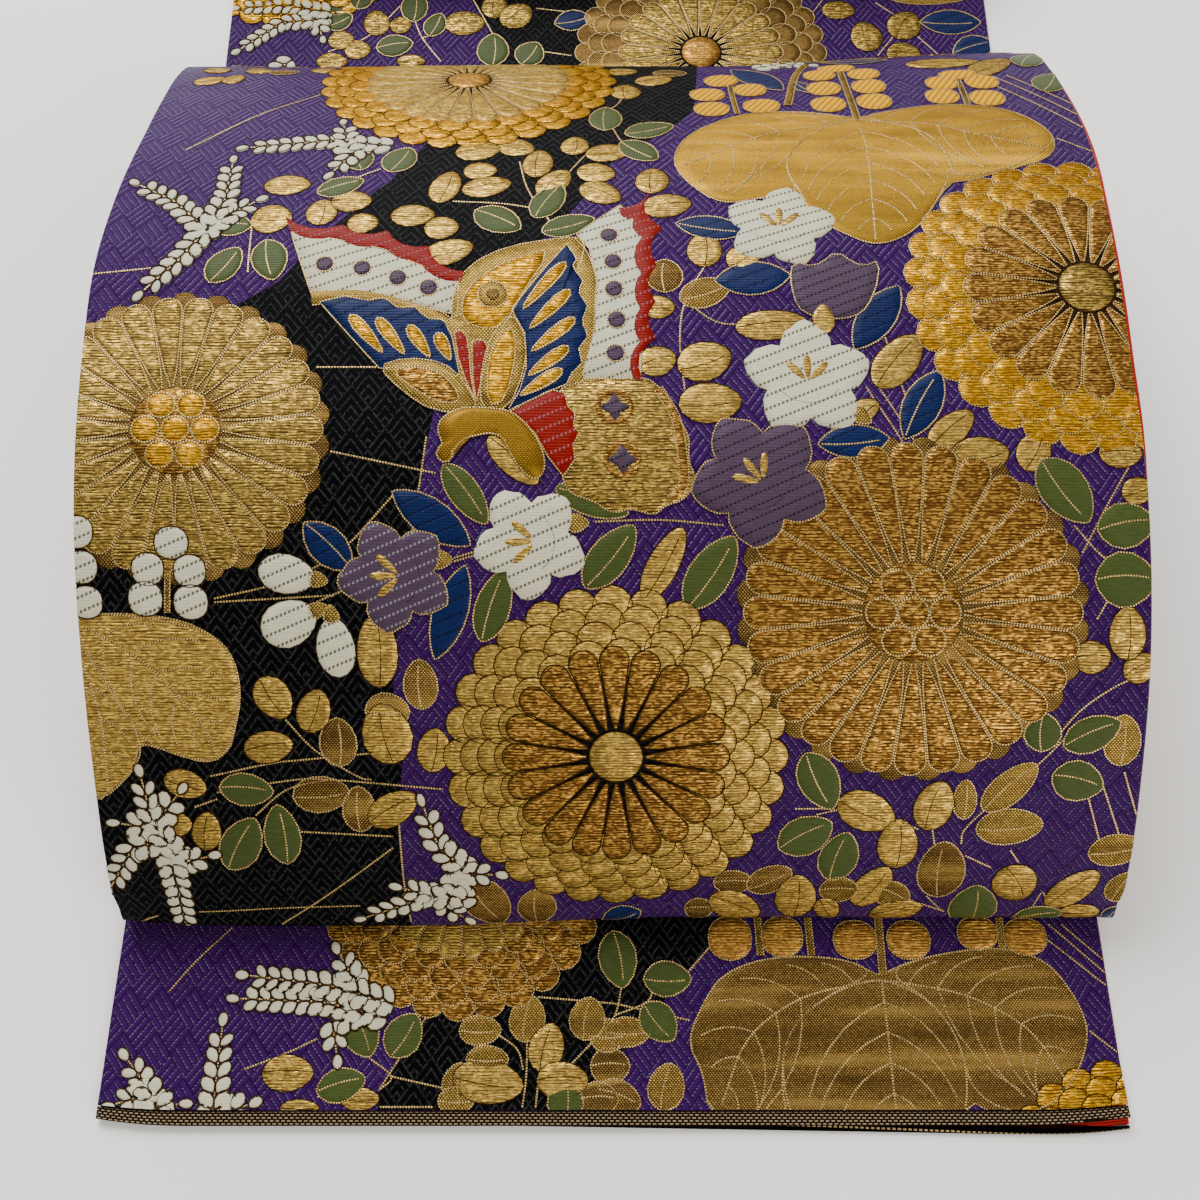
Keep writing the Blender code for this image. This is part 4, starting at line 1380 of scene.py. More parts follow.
# Blossoms in racemes: x, s, length, width, turn, by finish
BLOSSOMS = {
    "taiko": {
        "amber_silk": (
            (3.66, 31.5, 1.15, 1, 20), (3.1, 30.2, 1.15, 1, 0), (4.6, 30.6, 1.1, 1, 0),
            (3.2, 29, 1.15, 1, 0), (4.9, 29.2, 1.2, 1, 0), (7.9, 32.3, 1.3, 0.7, 0),
            (7.2, 31.7, 1.1, 0.9, 0), (8.8, 31.6, 1.1, 0.9, 0), (7.2, 30.5, 1.15, 1.05, 0),
            (8.8, 30.5, 1.15, 1.05, 0), (7.2, 29.2, 1.15, 1.05, 0), (8.8, 29.3, 1.15, 1.05, 0),
            (12.1, 31.1, 1.3, 0.7, 0), (11.4, 30.5, 1.1, 0.95, 0), (12.8, 30.5, 1.1, 0.95, 0),
            (11.2, 29.5, 1.1, 1, 0), (12.7, 29.3, 1.15, 1, 0),
        ),
        "white_stitched": (
            (-12.7, 12.1, 0.95, 0.9, 0), (-13.4, 11.35, 0.9, 0.9, 0), (-12.2, 11.3, 0.9, 0.9, 0),
            (-13.5, 10.5, 0.95, 0.95, 0), (-12.2, 10.4, 0.95, 0.95, 0), (-15.4, 12.4, 0.9, 0.9, 0),
            (-15.3, 11.4, 0.9, 0.9, 0), (-15.2, 10.4, 0.9, 0.9, 0),
        ),
    },
    "tare": {
        "amber_gold": (
            (3.75, 5.55, 1.3, 1.3, 0), (5.4, 5.6, 1.25, 1.2, 0), (7.7, 5.5, 1.3, 1.15, 0),
            (9.4, 5.5, 1.3, 1.15, 0), (11.6, 5.7, 1.2, 1, 0), (13.1, 5.6, 1.3, 1.1, 0),
        ),
    },
    "upper": {},
}

# White sprays: each is a stem, from its root to its tip
SPRAYS = {
    "taiko": (
        ((-7.5, 26.5), (-9.4, 26.7), (-11.9, 26.4)), ((-8.6, 26.2), (-9, 27.8)), ((-8.2, 26.4), (-8.9, 25)),
        ((-12.3, 22.3), (-12, 23.8), (-12.2, 25.6)), ((-12.3, 22.3), (-13.6, 23.6), (-14.9, 24.4)),
        ((-12.3, 22.3), (-13, 21), (-13.9, 19.9)), ((-12.3, 22.3), (-11.6, 23.1), (-11, 23.6)),
        ((-13.5, 2.9), (-13.4, 1.4), (-13.4, -0.1)), ((-13.2, 2.6), (-13.9, 3.8), (-14.1, 5.2)),
        ((-13.6, 3.2), (-14.6, 2.9), (-15.5, 1.4)), ((-14, 3.6), (-14.9, 3.7)),
        ((-13.4, 2.4), (-12.3, 2.7)), ((-13.6, 4), (-13, 4.7)), ((-4.6, 2.2), (-5.4, 3), (-5.8, 4.3)),
        ((-4.9, 2.1), (-3.7, 2)), ((-4.6, 1.2), (-6, 1.2), (-7.8, 0.4)),
        ((-4.9, 1.8), (-5.3, 0.8), (-4.7, 0.3)), ((-5.6, 1.3), (-6.6, 1.6)),
        ((5.2, 33), (6, 33.4), (7, 33)), ((-14.4, 35.8), (-12.2, 36.6)), ((-13.6, 36), (-13.8, 38.4)),
        ((7.4, 34.6), (5.4, 35.4)),
    ),
    "tare": (
        ((-7, 3.6), (-8.8, 4.1), (-11.4, 4.4)), ((-7.2, 3.2), (-9, 3.6), (-11.6, 3.7)),
        ((-7.6, 3.4), (-8.6, 2.9), (-8.4, 2)), ((-8, 4.2), (-8.6, 5.1)),
        ((-12, 0.3), (-12, 1.6), (-12, 2.9)), ((-13.6, 0.3), (-14, 1), (-14.8, 1.9)),
        ((-14, 0.9), (-15, 0.5)), ((-13.9, 0.5), (-13, 0.6)), ((-11.5, 0.4), (-10.9, 0.6)),
    ),
    "upper": (
        ((-11.7, 43.3), (-13.2, 43.6), (-15.2, 43.5)), ((-11.6, 42.9), (-13.4, 42.7), (-15, 41.3)),
        ((-12, 43), (-11.7, 42)), ((-12.6, 43.7), (-12.4, 44.6)), ((-13, 40.6), (-14.6, 39.2)),
    ),
}

# Bellflowers: x, s, radius, turn of the first petal and of the stamens in degrees, finish
BELLFLOWERS = (
    (5.3, 22.5, 1.78, 80, 90, "white_stitched"), (5.92, 17.05, 1.95, 90, 90, "white_stitched"),
    (4.3, 13.95, 2.05, 47, 126, "violet_silk"), (-6.3, 11.15, 1.68, 115, 180, "lilac_silk"),
    (-2.38, 12.12, 1.7, 122, 180, "white_stitched"),
)
# Their calyxes: x, s, turn. Their buds: x, s, length, width, turn. The violet bud's outline and its cup
CALYXES = ((-4.93, 11.62, 0), (-0.98, 12.66, 0), (6, 21.2, -90), (7.4, 15.8, -40))
BUDS = ((-9.4, 11.2, 1.7, 1.15, -10), (-9.4, 9.8, 1.75, 1.35, 25), (-8.1, 9.1, 1.8, 1.15, 95))
TULIP = (
    (5.95, 19.05), (7.5, 18.95), (8.1, 19.8), (8.35, 21.1), (7.7, 20.75), (7, 21.45), (6.4, 20.75),
    (5.6, 21.05), (5.6, 19.8),
)

TULIP_CUP = (6.5, 19)

# The butterfly's parts: finish, level in millimetres, how many times its corners are cut off, middle, outline
BUTTERFLY = (
    ("white_stitched", 0.4, 0, (-7, 20.7), ((-9.7, 22.2), (-8.35, 21.9), (-6.8, 21.5), (-5.9, 21),
     (-4.4, 20.3), (-4.4, 19.1), (-5.9, 19.5), (-7.2, 19.75), (-8.8, 19.8))),
    ("white_stitched", 0.4, 0, (0.3, 20.6), ((0.35, 23.4), (-0.95, 22.1), (-0.5, 21.5), (-0.25, 20.3),
     (-0.35, 18.5), (-0.75, 17), (1, 17), (1.1, 18.5), (1.15, 20.4), (1.1, 21.9), (0.7, 22.9))),
    ("bright_mesh", 0.42, 1, (-2.9, 19.9), ((-4.55, 18.4), (-4.6, 19.9), (-4.1, 20.9), (-3, 21.6),
     (-1.4, 21.95), (-0.6, 21.95), (-0.8, 20.6), (-2.2, 18.5), (-3.3, 18.1))),
    ("blue_silk", 0.5, 0, (-6, 18.6), ((-8.55, 19.55), (-7.8, 19.75), (-7.1, 19.6), (-6.6, 19.7),
     (-6.2, 19.35), (-5.7, 19.4), (-5.3, 19), (-4.8, 18.95), (-4.55, 18.4), (-4.35, 17.3), (-4.3, 17.05),
     (-5, 17.3), (-5.7, 17.5), (-6.65, 17.3))),
    ("bright_mesh", 0.42, 0, (-3.8, 17.6), ((-4.75, 18.9), (-4.2, 19.2), (-3.2, 18.9), (-2.9, 17.5),
     (-3.3, 15.9), (-4.1, 15.9), (-4.35, 16.9), (-4.5, 17.8))),
    ("blue_silk", 0.54, 0, (-1.6, 18.8), ((-1.2, 21.65), (-0.85, 21.1), (-1, 20.8), (-0.65, 20.3),
     (-0.8, 19.9), (-0.5, 19.4), (-0.7, 18.9), (-0.5, 18.4), (-0.8, 18), (-0.7, 17.5), (-1.1, 17.1),
     (-1.1, 16.85), (-1.66, 16.6), (-2.95, 15.95), (-2.56, 16.6), (-2.35, 17.4), (-2.4, 18.5),
     (-2.8, 19.3))),
    ("yellow_gold", 0.52, 1, (-3.2, 19.9), ((-4.3, 19.2), (-4.2, 19.9), (-3.6, 20.6), (-2.6, 21.2),
     (-1.6, 21.5), (-2.7, 19.4), (-2.9, 18.9), (-3.4, 18.6), (-4.1, 18.8))),
    ("red_silk", 0.5, 0, None, ((-4.49, 18.54), (-4.36, 17.67), (-4.12, 16.9), (-3.87, 16.33),
     (-3.99, 17.1), (-4.03, 17.77), (-4.12, 18.4), (-4.29, 18.6))),
    ("red_silk", 0.5, 0, None, ((-3.96, 18.2), (-3.93, 17.05), (-3.83, 16.23), (-3.62, 17.25), (-3.48, 18),
     (-3.6, 18.25), (-3.78, 18.3))),
    ("red_silk", 0.48, 0, (-1.7, 15.5), ((-2.85, 15.95), (-1.66, 16.65), (-1.25, 16.55), (-1.15, 16.1),
     (-0.95, 15.9), (-1.02, 15.5), (-0.85, 15.3), (-1.05, 14.9), (-1, 14.5), (-1.36, 14), (-1.8, 14.6),
     (-2.15, 15.3))),
    ("bright_mesh", 0.52, 1, (-5, 16.7), ((-6.75, 17.4), (-5.9, 17.7), (-4.8, 17.55), (-4.2, 16.95),
     (-3.7, 15.9), (-5.1, 15.95), (-6, 16.6))),
    ("orange_gold", 0.6, 1, (-5.05, 16.75), ((-6.3, 17.25), (-5.8, 17.4), (-4.95, 17.25), (-4.45, 16.75),
     (-4.3, 16.2), (-5, 16.25), (-5.7, 16.7))),
    ("bright_mesh", 0.5, 1, (-3, 17.6), ((-2.8, 19.2), (-2.35, 18.4), (-2.4, 17.3), (-2.9, 16),
     (-3.7, 15.95), (-3.7, 17.4), (-3.3, 18.6))),
    ("yellow_gold", 0.62, 1, (-3.1, 17.4), ((-2.8, 18.75), (-2.62, 18), (-2.95, 16.3), (-3.5, 16.1),
     (-3.5, 17.6), (-3.1, 18.5))),
    ("pale_gold", 0.36, 1, (0.6, 15), ((-0.85, 16.85), (-0.4, 17.1), (1.1, 17.1), (1.7, 16.6), (2, 15.8),
     (2.35, 15.2), (2.25, 14.5), (2.5, 13.9), (2.1, 13.3), (1.6, 13.2), (1.2, 12.85), (0.6, 13.1),
     (0, 12.9), (-0.5, 13.3), (-1.2, 13.5), (-1.4, 13.95), (-1.4, 14.6), (-1.4, 15.4), (-1.5, 16.2),
     (-1.35, 16.75))),
)
WING_SPOTS = (
    (-8.5, 20.9), (-7.35, 20.75), (-6.25, 20.4), (-5.3, 20.05), (0.07, 22.05), (0.23, 21), (0.27, 20),
    (0.34, 18.95), (0.28, 17.85),
)
TEARDROPS = (
    ((-7.6, 19.1), (-6.6, 17.85)), ((-6.8, 19), (-5.95, 17.8)), ((-5.85, 18.75), (-5.2, 17.7)),
    ((-5, 18.5), (-4.6, 17.6)), ((-1.2, 20.95), (-2.45, 19.3)), ((-1.05, 19.95), (-2.25, 18.65)),
    ((-0.9, 19), (-2.2, 17.9)), ((-1.1, 18.05), (-2.3, 17.1)), ((-1.3, 17.3), (-2.55, 16.45)),
)
WING_EDGES = (
    (((-10, 22.95), (-8.15, 22.55), (-6.75, 22.3), (-5.4, 21.65), (-4.2, 20.65)), ((-9.7, 22.15),
     (-8.3, 21.95), (-6.8, 21.55), (-5.7, 20.95), (-4.4, 20.2))),
    (((0.3, 23.3), (1.25, 24.05), (1.72, 22.4), (1.58, 20.9), (1.55, 19.6), (1.5, 18.4), (1.1, 16.95)),
     ((0.4, 22.9), (0.75, 22.6), (1, 21.9), (1.02, 20.5), (0.98, 19.3), (0.95, 18.2), (0.75, 17))),
)
WING_BANDS = (
    ("bright_mesh", 0.56, ((-8.8, 19.72), (-8, 19.82), (-7.2, 19.78), (-6, 19.43), (-5.2, 19.08),
     (-4.4, 18.5))),
    ("bright_mesh", 0.6, ((-1.2, 21.75), (-0.78, 21.1), (-0.52, 20), (-0.52, 18.6), (-0.77, 17.5),
     (-1.15, 16.85))),
    ("orange_gold", 0.26, ((1.5, 16.7), (1.95, 15.8), (2.1, 14.8), (2.1, 13.8), (1.7, 13.3))),
)
BODY = (
    (-3.87, 16.08), (-4.3, 16.05), (-4.65, 15.9), (-4.95, 15.6), (-4.95, 15.2), (-4.78, 15), (-5.02, 14.75),
    (-4.98, 14.5), (-4.75, 14.38), (-4.55, 14.5), (-4.55, 14.8), (-4.4, 14.9), (-4.24, 15.12),
    (-3.87, 15.2), (-3.46, 15.3), (-3.04, 15.15), (-2.95, 14.8), (-2.67, 14.33), (-2.35, 13.97),
    (-2.1, 13.9), (-1.9, 14.15), (-1.88, 14.55), (-2.03, 15), (-2.3, 15.46), (-2.63, 15.8), (-2.95, 16),
)

BODY_MIDDLE = (-3.5, 15.75)
HIND_WING_RINGS = ((0.2, 16.1), (0.37, 14.5))
EYE = (-3.36, 19.8)

# Stems and long threads
THREADS = {
    "taiko": (
        ((-8.55, 17.4), (-6.55, 17.4)), ((-8.1, 14.75), (-5.05, 14.1)), ((-15.5, 20.55), (-13.5, 20.8)),
        ((-11.55, 10.5), (-9.5, 11), (-7.8, 11.9), (-6.3, 13.45)), ((-11.55, 10.4), (-8.05, 10.6)),
        ((13.3, 30.95), (15.45, 28.2)), ((13.8, 31), (15.45, 28.9)), ((12.9, 30.6), (15.45, 27.4)),
        ((14.45, 26.8), (15.45, 26.1)), ((7.6, 16.75), (8.8, 14.5)), ((7.9, 16.9), (9.1, 14.6)),
        ((-0.5, 12.7), (1.4, 12.75), (3.2, 12.6)), ((-4.6, 11.66), (-3.8, 11.9)),
        ((-4.6, 11.56), (-3.8, 11.8)), ((13.5, 11.8), (14.3, 13.2), (15.2, 14.6)),
        ((12.6, 6), (13.5, 7.2), (14.6, 8), (15.45, 8.3)), ((-13.9, 26.3), (-12.2, 28.2), (-10.1, 30.3)),
        ((-12.05, 5.2), (-10.2, 5.6), (-9.3, 5.7), (-7.3, 5.9)),
        ((-11.9, 4.7), (-9.8, 5.06), (-8.55, 5.1), (-5.2, 4.8)), ((-9.5, 3.5), (-6.75, 3.35)),
        ((-6.75, 3), (-8.4, 1.7), (-10.4, 0.1)), ((-12.9, 0.6), (-10.4, 0.8), (-7.9, 0.9)),
        ((-14.8, 0.05), (-14.2, 0.35)), ((-9.7, 6.95), (-8.9, 6), (-7.7, 5.2), (-7.3, 5.1)),
        ((-12.6, 4.25), (-11.9, 4.5)), ((-10.8, 4), (-9.8, 4.8), (-8.55, 5.1)),
        ((10.45, 2.5), (11.3, 2.05)), ((11.8, 2.7), (12.1, 2.25)), ((13.8, 4.95), (14.45, 3)),
        ((14.3, 5), (15, 3.25)), ((14.95, 5.3), (15.45, 3.9)),
        ((10.3, 2.9), (10.5, 3.6), (12.45, 5.6), (13.3, 6.6)), ((8.7, 0.9), (10.1, 0.25)),
        ((9.45, 0.95), (10, 0.3)), ((5.25, 4.1), (6.4, 4.1)), ((-6.55, 4), (-6.5, 1.6), (-6.4, 0.2)),
        ((-5.3, 15.2), (-5.5, 13.9), (-5.9, 11.6)), ((-3, 25.6), (-2.6, 24.2), (-1.9, 22.9), (-1.4, 22)),
        ((-4.9, 23.6), (-3.4, 23.5), (-2.4, 23.3)), ((-0.9, 26), (-1.4, 24.9), (-1.7, 23.6)),
        ((-0.1, 27.6), (0.2, 26.8), (0.6, 26.6)), ((0.4, 31.2), (0.1, 29.6), (-0.3, 28.9)),
        ((3.1, 21), (2.4, 19.6), (2.2, 18.2), (2.3, 16.4)), ((2.4, 19.6), (3.3, 18.9), (4.2, 18.8)),
        ((8.3, 18.4), (8.7, 16.6), (8.9, 15.2)), ((6.9, 19.6), (6.6, 18.9), (6.3, 18.7)),
        ((-9, 24), (-8, 24.8), (-7.4, 25.2)), ((-11, 22.9), (-10.9, 21.9), (-10.8, 20.6)),
        ((-8.6, 10.4), (-7.9, 10.7), (-7.2, 11)), ((13.3, 12.6), (14.1, 11.7), (14.9, 11.4)),
        ((13.9, 9.9), (14.3, 10.6)), ((5.9, 3.9), (6.9, 4.1), (8.1, 3.8), (9, 3.4)),
        ((9.4, 3.4), (9.5, 2.9)), ((12.8, 0.5), (13, 1.1), (13.2, 0.6)),
        ((-13.9, 34), (-10.8, 35.6), (-8.2, 37)),
    ),
    "tare": (
        ((-12.05, 5.9), (-13.1, 4.8), (-13.8, 3.9)), ((-11.2, 1.6), (-9.9, 2.1), (-9.05, 2.5)),
        ((-6.7, 1.4), (-5.05, 1.05)), ((-7.5, 2), (-6.7, 1.4), (-7.05, 1)), ((-5.7, 3.2), (-7.05, 1)),
        ((-7, 0.52), (-5.4, 0.52)), ((-2.3, 3.75), (0.1, 3.55)),
        ((-1.4, 1.6), (-0.4, 2.6), (0.1, 3.2), (0.3, 4)), ((0.1, 3.2), (1.1, 3.6), (1.3, 4.1)),
        ((0.1, 3.55), (2.4, 3.05)), ((13.9, 6), (15.45, 4.5)), ((14.3, 6), (15.45, 4.9)),
        ((13.7, 5.6), (15.45, 4.1)), ((14.7, 2.75), (15.45, 2.1)), ((-2.7, 0.5), (-2.6, 1.4), (-2.6, 2.6)),
        ((-2.3, 0.5), (-2.2, 1.6)), ((3.3, 5.5), (2.4, 4.5)), ((-3.6, 2.7), (-2.9, 2.2), (-2.7, 1.6)),
        ((-8.9, 0.8), (-8.4, 1), (-7.6, 1.4)),
    ),
    "upper": (
        ((-11.4, 41.2), (-9.8, 42), (-8.6, 43.6)), ((-8, 43), (-7.6, 41.9), (-6.8, 40.7)),
        ((-7.6, 41.9), (-6.9, 42.2)), ((-5.7, 44.2), (-4.9, 42.5), (-4.5, 41.6)),
        ((-3, 43.5), (-1.6, 43.3)), ((-2.6, 41.2), (-1.5, 41)), ((12.6, 42), (13.4, 41)),
        ((10.9, 41), (11.6, 42)), ((11, 43.8), (11.8, 43.1)), ((8.4, 43.3), (9, 44.2)),
        ((-14.8, 45.4), (-9.6, 45)), ((9.4, 40), (13.6, 38.6)),
    ),
}

# Thick stems of the blossom racemes: path, width
STEMS = {
    "taiko": (
        (((3.95, 31.9), (3.95, 30.2), (4.05, 28.6)), 0.16), (((8, 32.2), (8, 30.2), (8.05, 28)), 0.22),
        (((12, 31.2), (12, 30.2), (11.95, 28.9)), 0.18), (((6.95, 33.2), (6.3, 31.6), (5.8, 29.2)), 0.25),
        (((-12.8, 12), (-12.85, 11), (-12.9, 10.1)), 0.14),
    ),
    "tare": (
        (((4.65, 6.2), (4.7, 5)), 0.2), (((6.25, 6.2), (6.3, 5)), 0.2), (((8.5, 6.2), (8.5, 4.4)), 0.22),
        (((12.35, 6.2), (12.35, 5.2)), 0.2),
    ),
    "upper": (),
}

COPIES = {"te": "taiko"}  # the te end repeats the drum's design
FIGURED = ("taiko", "tare", "upper", "te")


def design(table, stretch):
    return table[COPIES.get(stretch, stretch)]


# ---------------------------------------------------------------- drawing the figures


def draw_leaf(figures, x, s, long, wide, turn, kind, level):
    """A leaf outlined in gold thread, with a midrib."""
    corners = 18 if long > 1.9 else 14
    lens, point = {"blue_silk": (0.78, 0.0), "green_silk": (0.62, 0.12)}.get(kind, (0.52, 0.10))
    outline = turned(leaf_outline(long, wide, corners, point, lens), x, s, turn)
    bow = 0.08 * wide * figures.chance.choice((-1, 1))
    midrib = [(long * t, bow * (1 - (2 * t) ** 2)) for t in (-0.46, -0.25, 0.0, 0.20, 0.36)]
    midrib = turned(midrib, x, s, turn)
    if kind in ("pale_gold", "bright_gold"):
        figures.outlined(outline, kind, level, "dark_weft", 0.026)
        figures.thread(midrib, level + 0.20, 0.03, step=0.5, kind="dark_weft")
        return
    figures.outlined(outline, kind, level)
    if kind != "blue_silk" or figures.chance.random() < 0.6:
        figures.thread(midrib, level + 0.21, 0.04, step=0.5)


def draw_flower(figures, x, s, name):
    """A chrysanthemum: the ground between, rings of scales from the rim inward, petals and a disc."""
    disc, disc_kind, count, end, petal_kind, petal_line, rings, *scale, ground = BLOOMS[name]
    size, scale_kind, scale_line = scale
    outer = rings[0] + size * 0.40 if rings else end
    figures.dome(ring_outline(outer - 0.12, 48, x, s), ground, 0.20, crown=0.0, rings=9)
    level = 0.26
    for k, reach in enumerate(rings):
        number = int(round(2 * math.pi * reach / (size * 0.92)))
        for i in range(number):
            angle = 2 * math.pi * (i + 0.5 * (k % 2)) / number
            outline = ring_outline(size * 0.54, 12, *on_circle((x, s), reach, angle))
            figures.outlined(outline, scale_kind, level, scale_line, 0.032, 0.35, rings=2)
        level += 0.10
    if not rings:  # a second row of petals shows between the tips of the first
        for i in range(count):
            shape = turned(petal_outline(end * 0.6, end + 0.22, count), x, s, 360 * (i + 0.5) / count)
            figures.dome(shape, "brown_mesh", level, crown=0.3, rings=2)
        level += 0.12
    for i in range(count):
        shape = turned(petal_outline(disc + 0.06, end, count), x, s, 360 * i / count)
        figures.outlined(shape, petal_kind, level, petal_line, 0.038, 0.5, rings=4)
    level += 0.16
    if disc_kind:
        figures.outlined(ring_outline(disc, 20, x, s), disc_kind, level, "dark_weft", 0.03, 0.5, rings=2)
        return
    figures.dome(ring_outline(disc + 0.05, 20, x, s), "orange_gold", level - 0.06, crown=0.2)
    for number, reach in ((6, disc - size * 0.5), (1, 0.0)):
        for i in range(number):
            angle = 2 * math.pi * i / number
            outline = ring_outline(size * 0.48, 12, *on_circle((x, s), reach, angle))
            figures.outlined(outline, scale_kind, level, scale_line, 0.05, 0.6, rings=2)


def draw_spray(figures, stem):
    """Grains in pairs up a stem, smaller towards its tip."""
    stem = np.array(stem, float)
    along = runs(stem)
    total = along[-1]
    number = max(2, int(round(total / 0.40)))
    figures.thread(stem, 0.30)
    for i in range(number + 1):
        t = total * i / number
        x, s = point_at(t, along, stem)
        ahead, behind = point_at(min(t + 0.1, total), along, stem), point_at(max(t - 0.1, 0), along, stem)
        way = math.degrees(math.atan2(ahead[1] - behind[1], ahead[0] - behind[0]))
        grow = 1.0 - 0.28 * i / number
        sides = ((38, 1), (-38, -1)) if i < number else ((0, 0),)
        for lean, side in sides:
            lean += figures.chance.uniform(-12, 12)
            long, wide = 0.66 * grow, 0.45 * grow * figures.chance.uniform(0.88, 1.12)
            angle = math.radians(way + 90 * side)
            spot = on_circle((x, s), 0.24 * grow, angle)
            grain = turned(leaf_outline(long, wide, 9, -0.10), *spot, way + lean)
            rise = 0.26 + 0.05 * (i % 3) + 0.02 * side
            figures.outlined(grain, "white_silk", rise, "dark_weft", 0.045, 1.6, rings=2, bevel=0.0008)


def draw_bellflower(figures, x, s, radius, turn, face, kind):
    """Five broad petals, with a crease behind three gold stamens that stand the way of face, in degrees."""
    a = around(50)
    lobe = np.abs(((a * 5 / (2 * math.pi) + 0.5) % 1.0) - 0.5) * 2  # 0 at a petal's tip, 1 between petals
    reach = radius * (0.70 + 0.23 * (1 - lobe**1.7) + 0.07 * (1 - lobe) ** 3 - 0.04 * (lobe > 0.95))
    reach *= 1 + 0.02 * np.array([figures.chance.uniform(-1, 1) for _ in a])
    outline = turned(np.column_stack([np.cos(a) * reach, np.sin(a) * reach]), x, s, turn)
    figures.dome(outline, kind, 0.46, rings=4, tone=0.1)
    if kind != "white_stitched":
        figures.band(outline, 0.04, level=0.54, closed=True)
    arc = [(-radius * 0.42 * math.cos(v), radius * 0.50 * math.sin(v)) for v in np.linspace(-1.1, 1.1, 8)]
    figures.thread(turned(arc, x, s, face), 0.60, 0.035, kind="dark_weft")
    for lean in (-42, 0, 42):
        shape = turned(leaf_outline(0.86, 0.28, 10, -0.2), 0.50, 0)
        shape = turned(shape, -0.16, 0, lean)
        figures.dome(turned(shape, x, s, face), "bright_gold", 0.54, rings=2)


def curved(start, end, bow, points=7):
    """A bowed line between two points; bow is its rise as a share of its length."""
    start, end = np.array(start, float), np.array(end, float)
    side = np.array([-(end - start)[1], (end - start)[0]])
    return [start + (end - start) * t + side * bow * 4 * t * (1 - t) for t in np.linspace(0, 1, points)]


def inside(polygon, spot):
    """Whether a spot lies inside a polygon."""
    odd = False
    for (x0, y0), (x1, y1) in zip(polygon, np.roll(polygon, -1, 0)):
        if (y0 > spot[1]) != (y1 > spot[1]) and spot[0] < x0 + (spot[1] - y0) * (x1 - x0) / (y1 - y0):
            odd = not odd
    return odd


def draw_paulownia(figures, outline, lobes, middle, kind):
    """A broad leaf of lobes, each with a midrib and bowed veins off it."""
    outline = resampled(rounded(outline, 1), 64)
    figures.outlined(outline, kind, 0.18, crown=0.6, middle=middle, rings=14, tone=0.1)
    for bounds, midrib in lobes:
        bounds = rounded(bounds, 2)
        figures.thread(bounds, 0.35, 0.05, closed=True)
        midrib = curve_points(midrib, 6)
        figures.thread(midrib, 0.36, 0.055)
        along = runs(midrib)
        for place in np.arange(0.6, along[-1] - 0.4, 0.9):
            root, ahead = (point_at(p, along, midrib) for p in (place, place + 0.1))
            way = (ahead - root) / math.dist(ahead, root)
            for side in (-1, 1):
                out = np.array([way[0] * 0.72 - side * way[1] * 0.69, way[1] * 0.72 + side * way[0] * 0.69])
                room = 0.0
                while room < 3.6 and inside(bounds, root + out * (room + 0.45)):
                    room += 0.15
                if room > 0.5:
                    figures.thread(curved(root, root + out * room, 0.12 * side, 6), 0.34, 0.042)


def draw_butterfly(figures):
    """Wings of white, blue and red silk with gold bands, over a gold body."""
    for kind, level, rounds, middle, outline in BUTTERFLY:
        outline = resampled(rounded(outline, rounds) if rounds else outline, 60)
        figures.outlined(outline, kind, level, width=0.04, crown=0.8, middle=middle, rings=4, tone=0.1)
    for x, s in WING_SPOTS:
        figures.outlined(ring_outline(0.29, 12, x, s), "violet_silk", 0.50, rings=2, width=0.04)
    for start, end in TEARDROPS:
        start, end = np.array(start), np.array(end)
        shape = teardrop_outline(math.dist(start, end), 0.36)
        turn = math.degrees(math.atan2(*(start - end)[::-1]))
        figures.outlined(turned(shape, *((start + end) / 2), turn), "yellow_gold", 0.66, width=0.055, rings=2)
    for outer, inner in WING_EDGES:
        figures.strip(scallops(outer, 0.19), scallops(inner, 0.15), "red_silk", 0.54, FLAT_RISES, 0.1)
    for kind, wide, path in WING_BANDS:
        path = curve_points(path)
        figures.band(path, wide, kind, 0.46, flat=True, tone=0.1)
        for side in (-1, 1):
            figures.thread(path + sideways(path) * side * wide / 2, 0.50, 0.035)
    body = resampled(rounded(BODY, 1), 56)
    figures.outlined(body, "warm_mesh", 0.66, width=0.045, middle=BODY_MIDDLE, rings=3)
    for x, s in HIND_WING_RINGS:
        figures.band(ring_outline(0.48, 16, x, s), 0.20, "orange_gold", 0.54, closed=True, flat=True)
        star = ring_outline(0.26 + 0.20 * np.abs(np.cos(2 * around(16))) ** 3, 16, x, s)
        figures.dome(star, "violet_silk", 0.60, rings=2)
    figures.outlined(ring_outline(0.46, 14, *EYE), "bright_mesh", 0.64, rings=2, crown=0.6)
    figures.dome(ring_outline(0.24, 10, *EYE), "brown_mesh", 0.74, rings=2, crown=0.6)


def curve_points(points, parts=4):
    """A smooth line through the points."""
    points = np.array(points, float)
    ends = np.concatenate([[2 * points[0] - points[1]], points, [2 * points[-1] - points[-2]]])
    out = []
    for a, b, c, d in zip(ends, ends[1:], ends[2:], ends[3:]):
        for i in range(parts):
            t = i / parts
            square, cube = 2 * a - 5 * b + 4 * c - d, 3 * b - a - 3 * c + d
            out.append(0.5 * (2 * b + (c - a) * t + square * t**2 + cube * t**3))
    return np.array([*out, points[-1]])


# ---------------------------------------------------------------- the operators


class OBI_OT_finishes(bpy.types.Operator):
    """Make the silks, the gilt threads and the ground weaves"""

    bl_idname = "obi.finishes"
    bl_label = "Finishes"

    def execute(self, context):
        make_finishes(context.scene.obi_weave, context.scene.obi_colours)
        return {"FINISHED"}


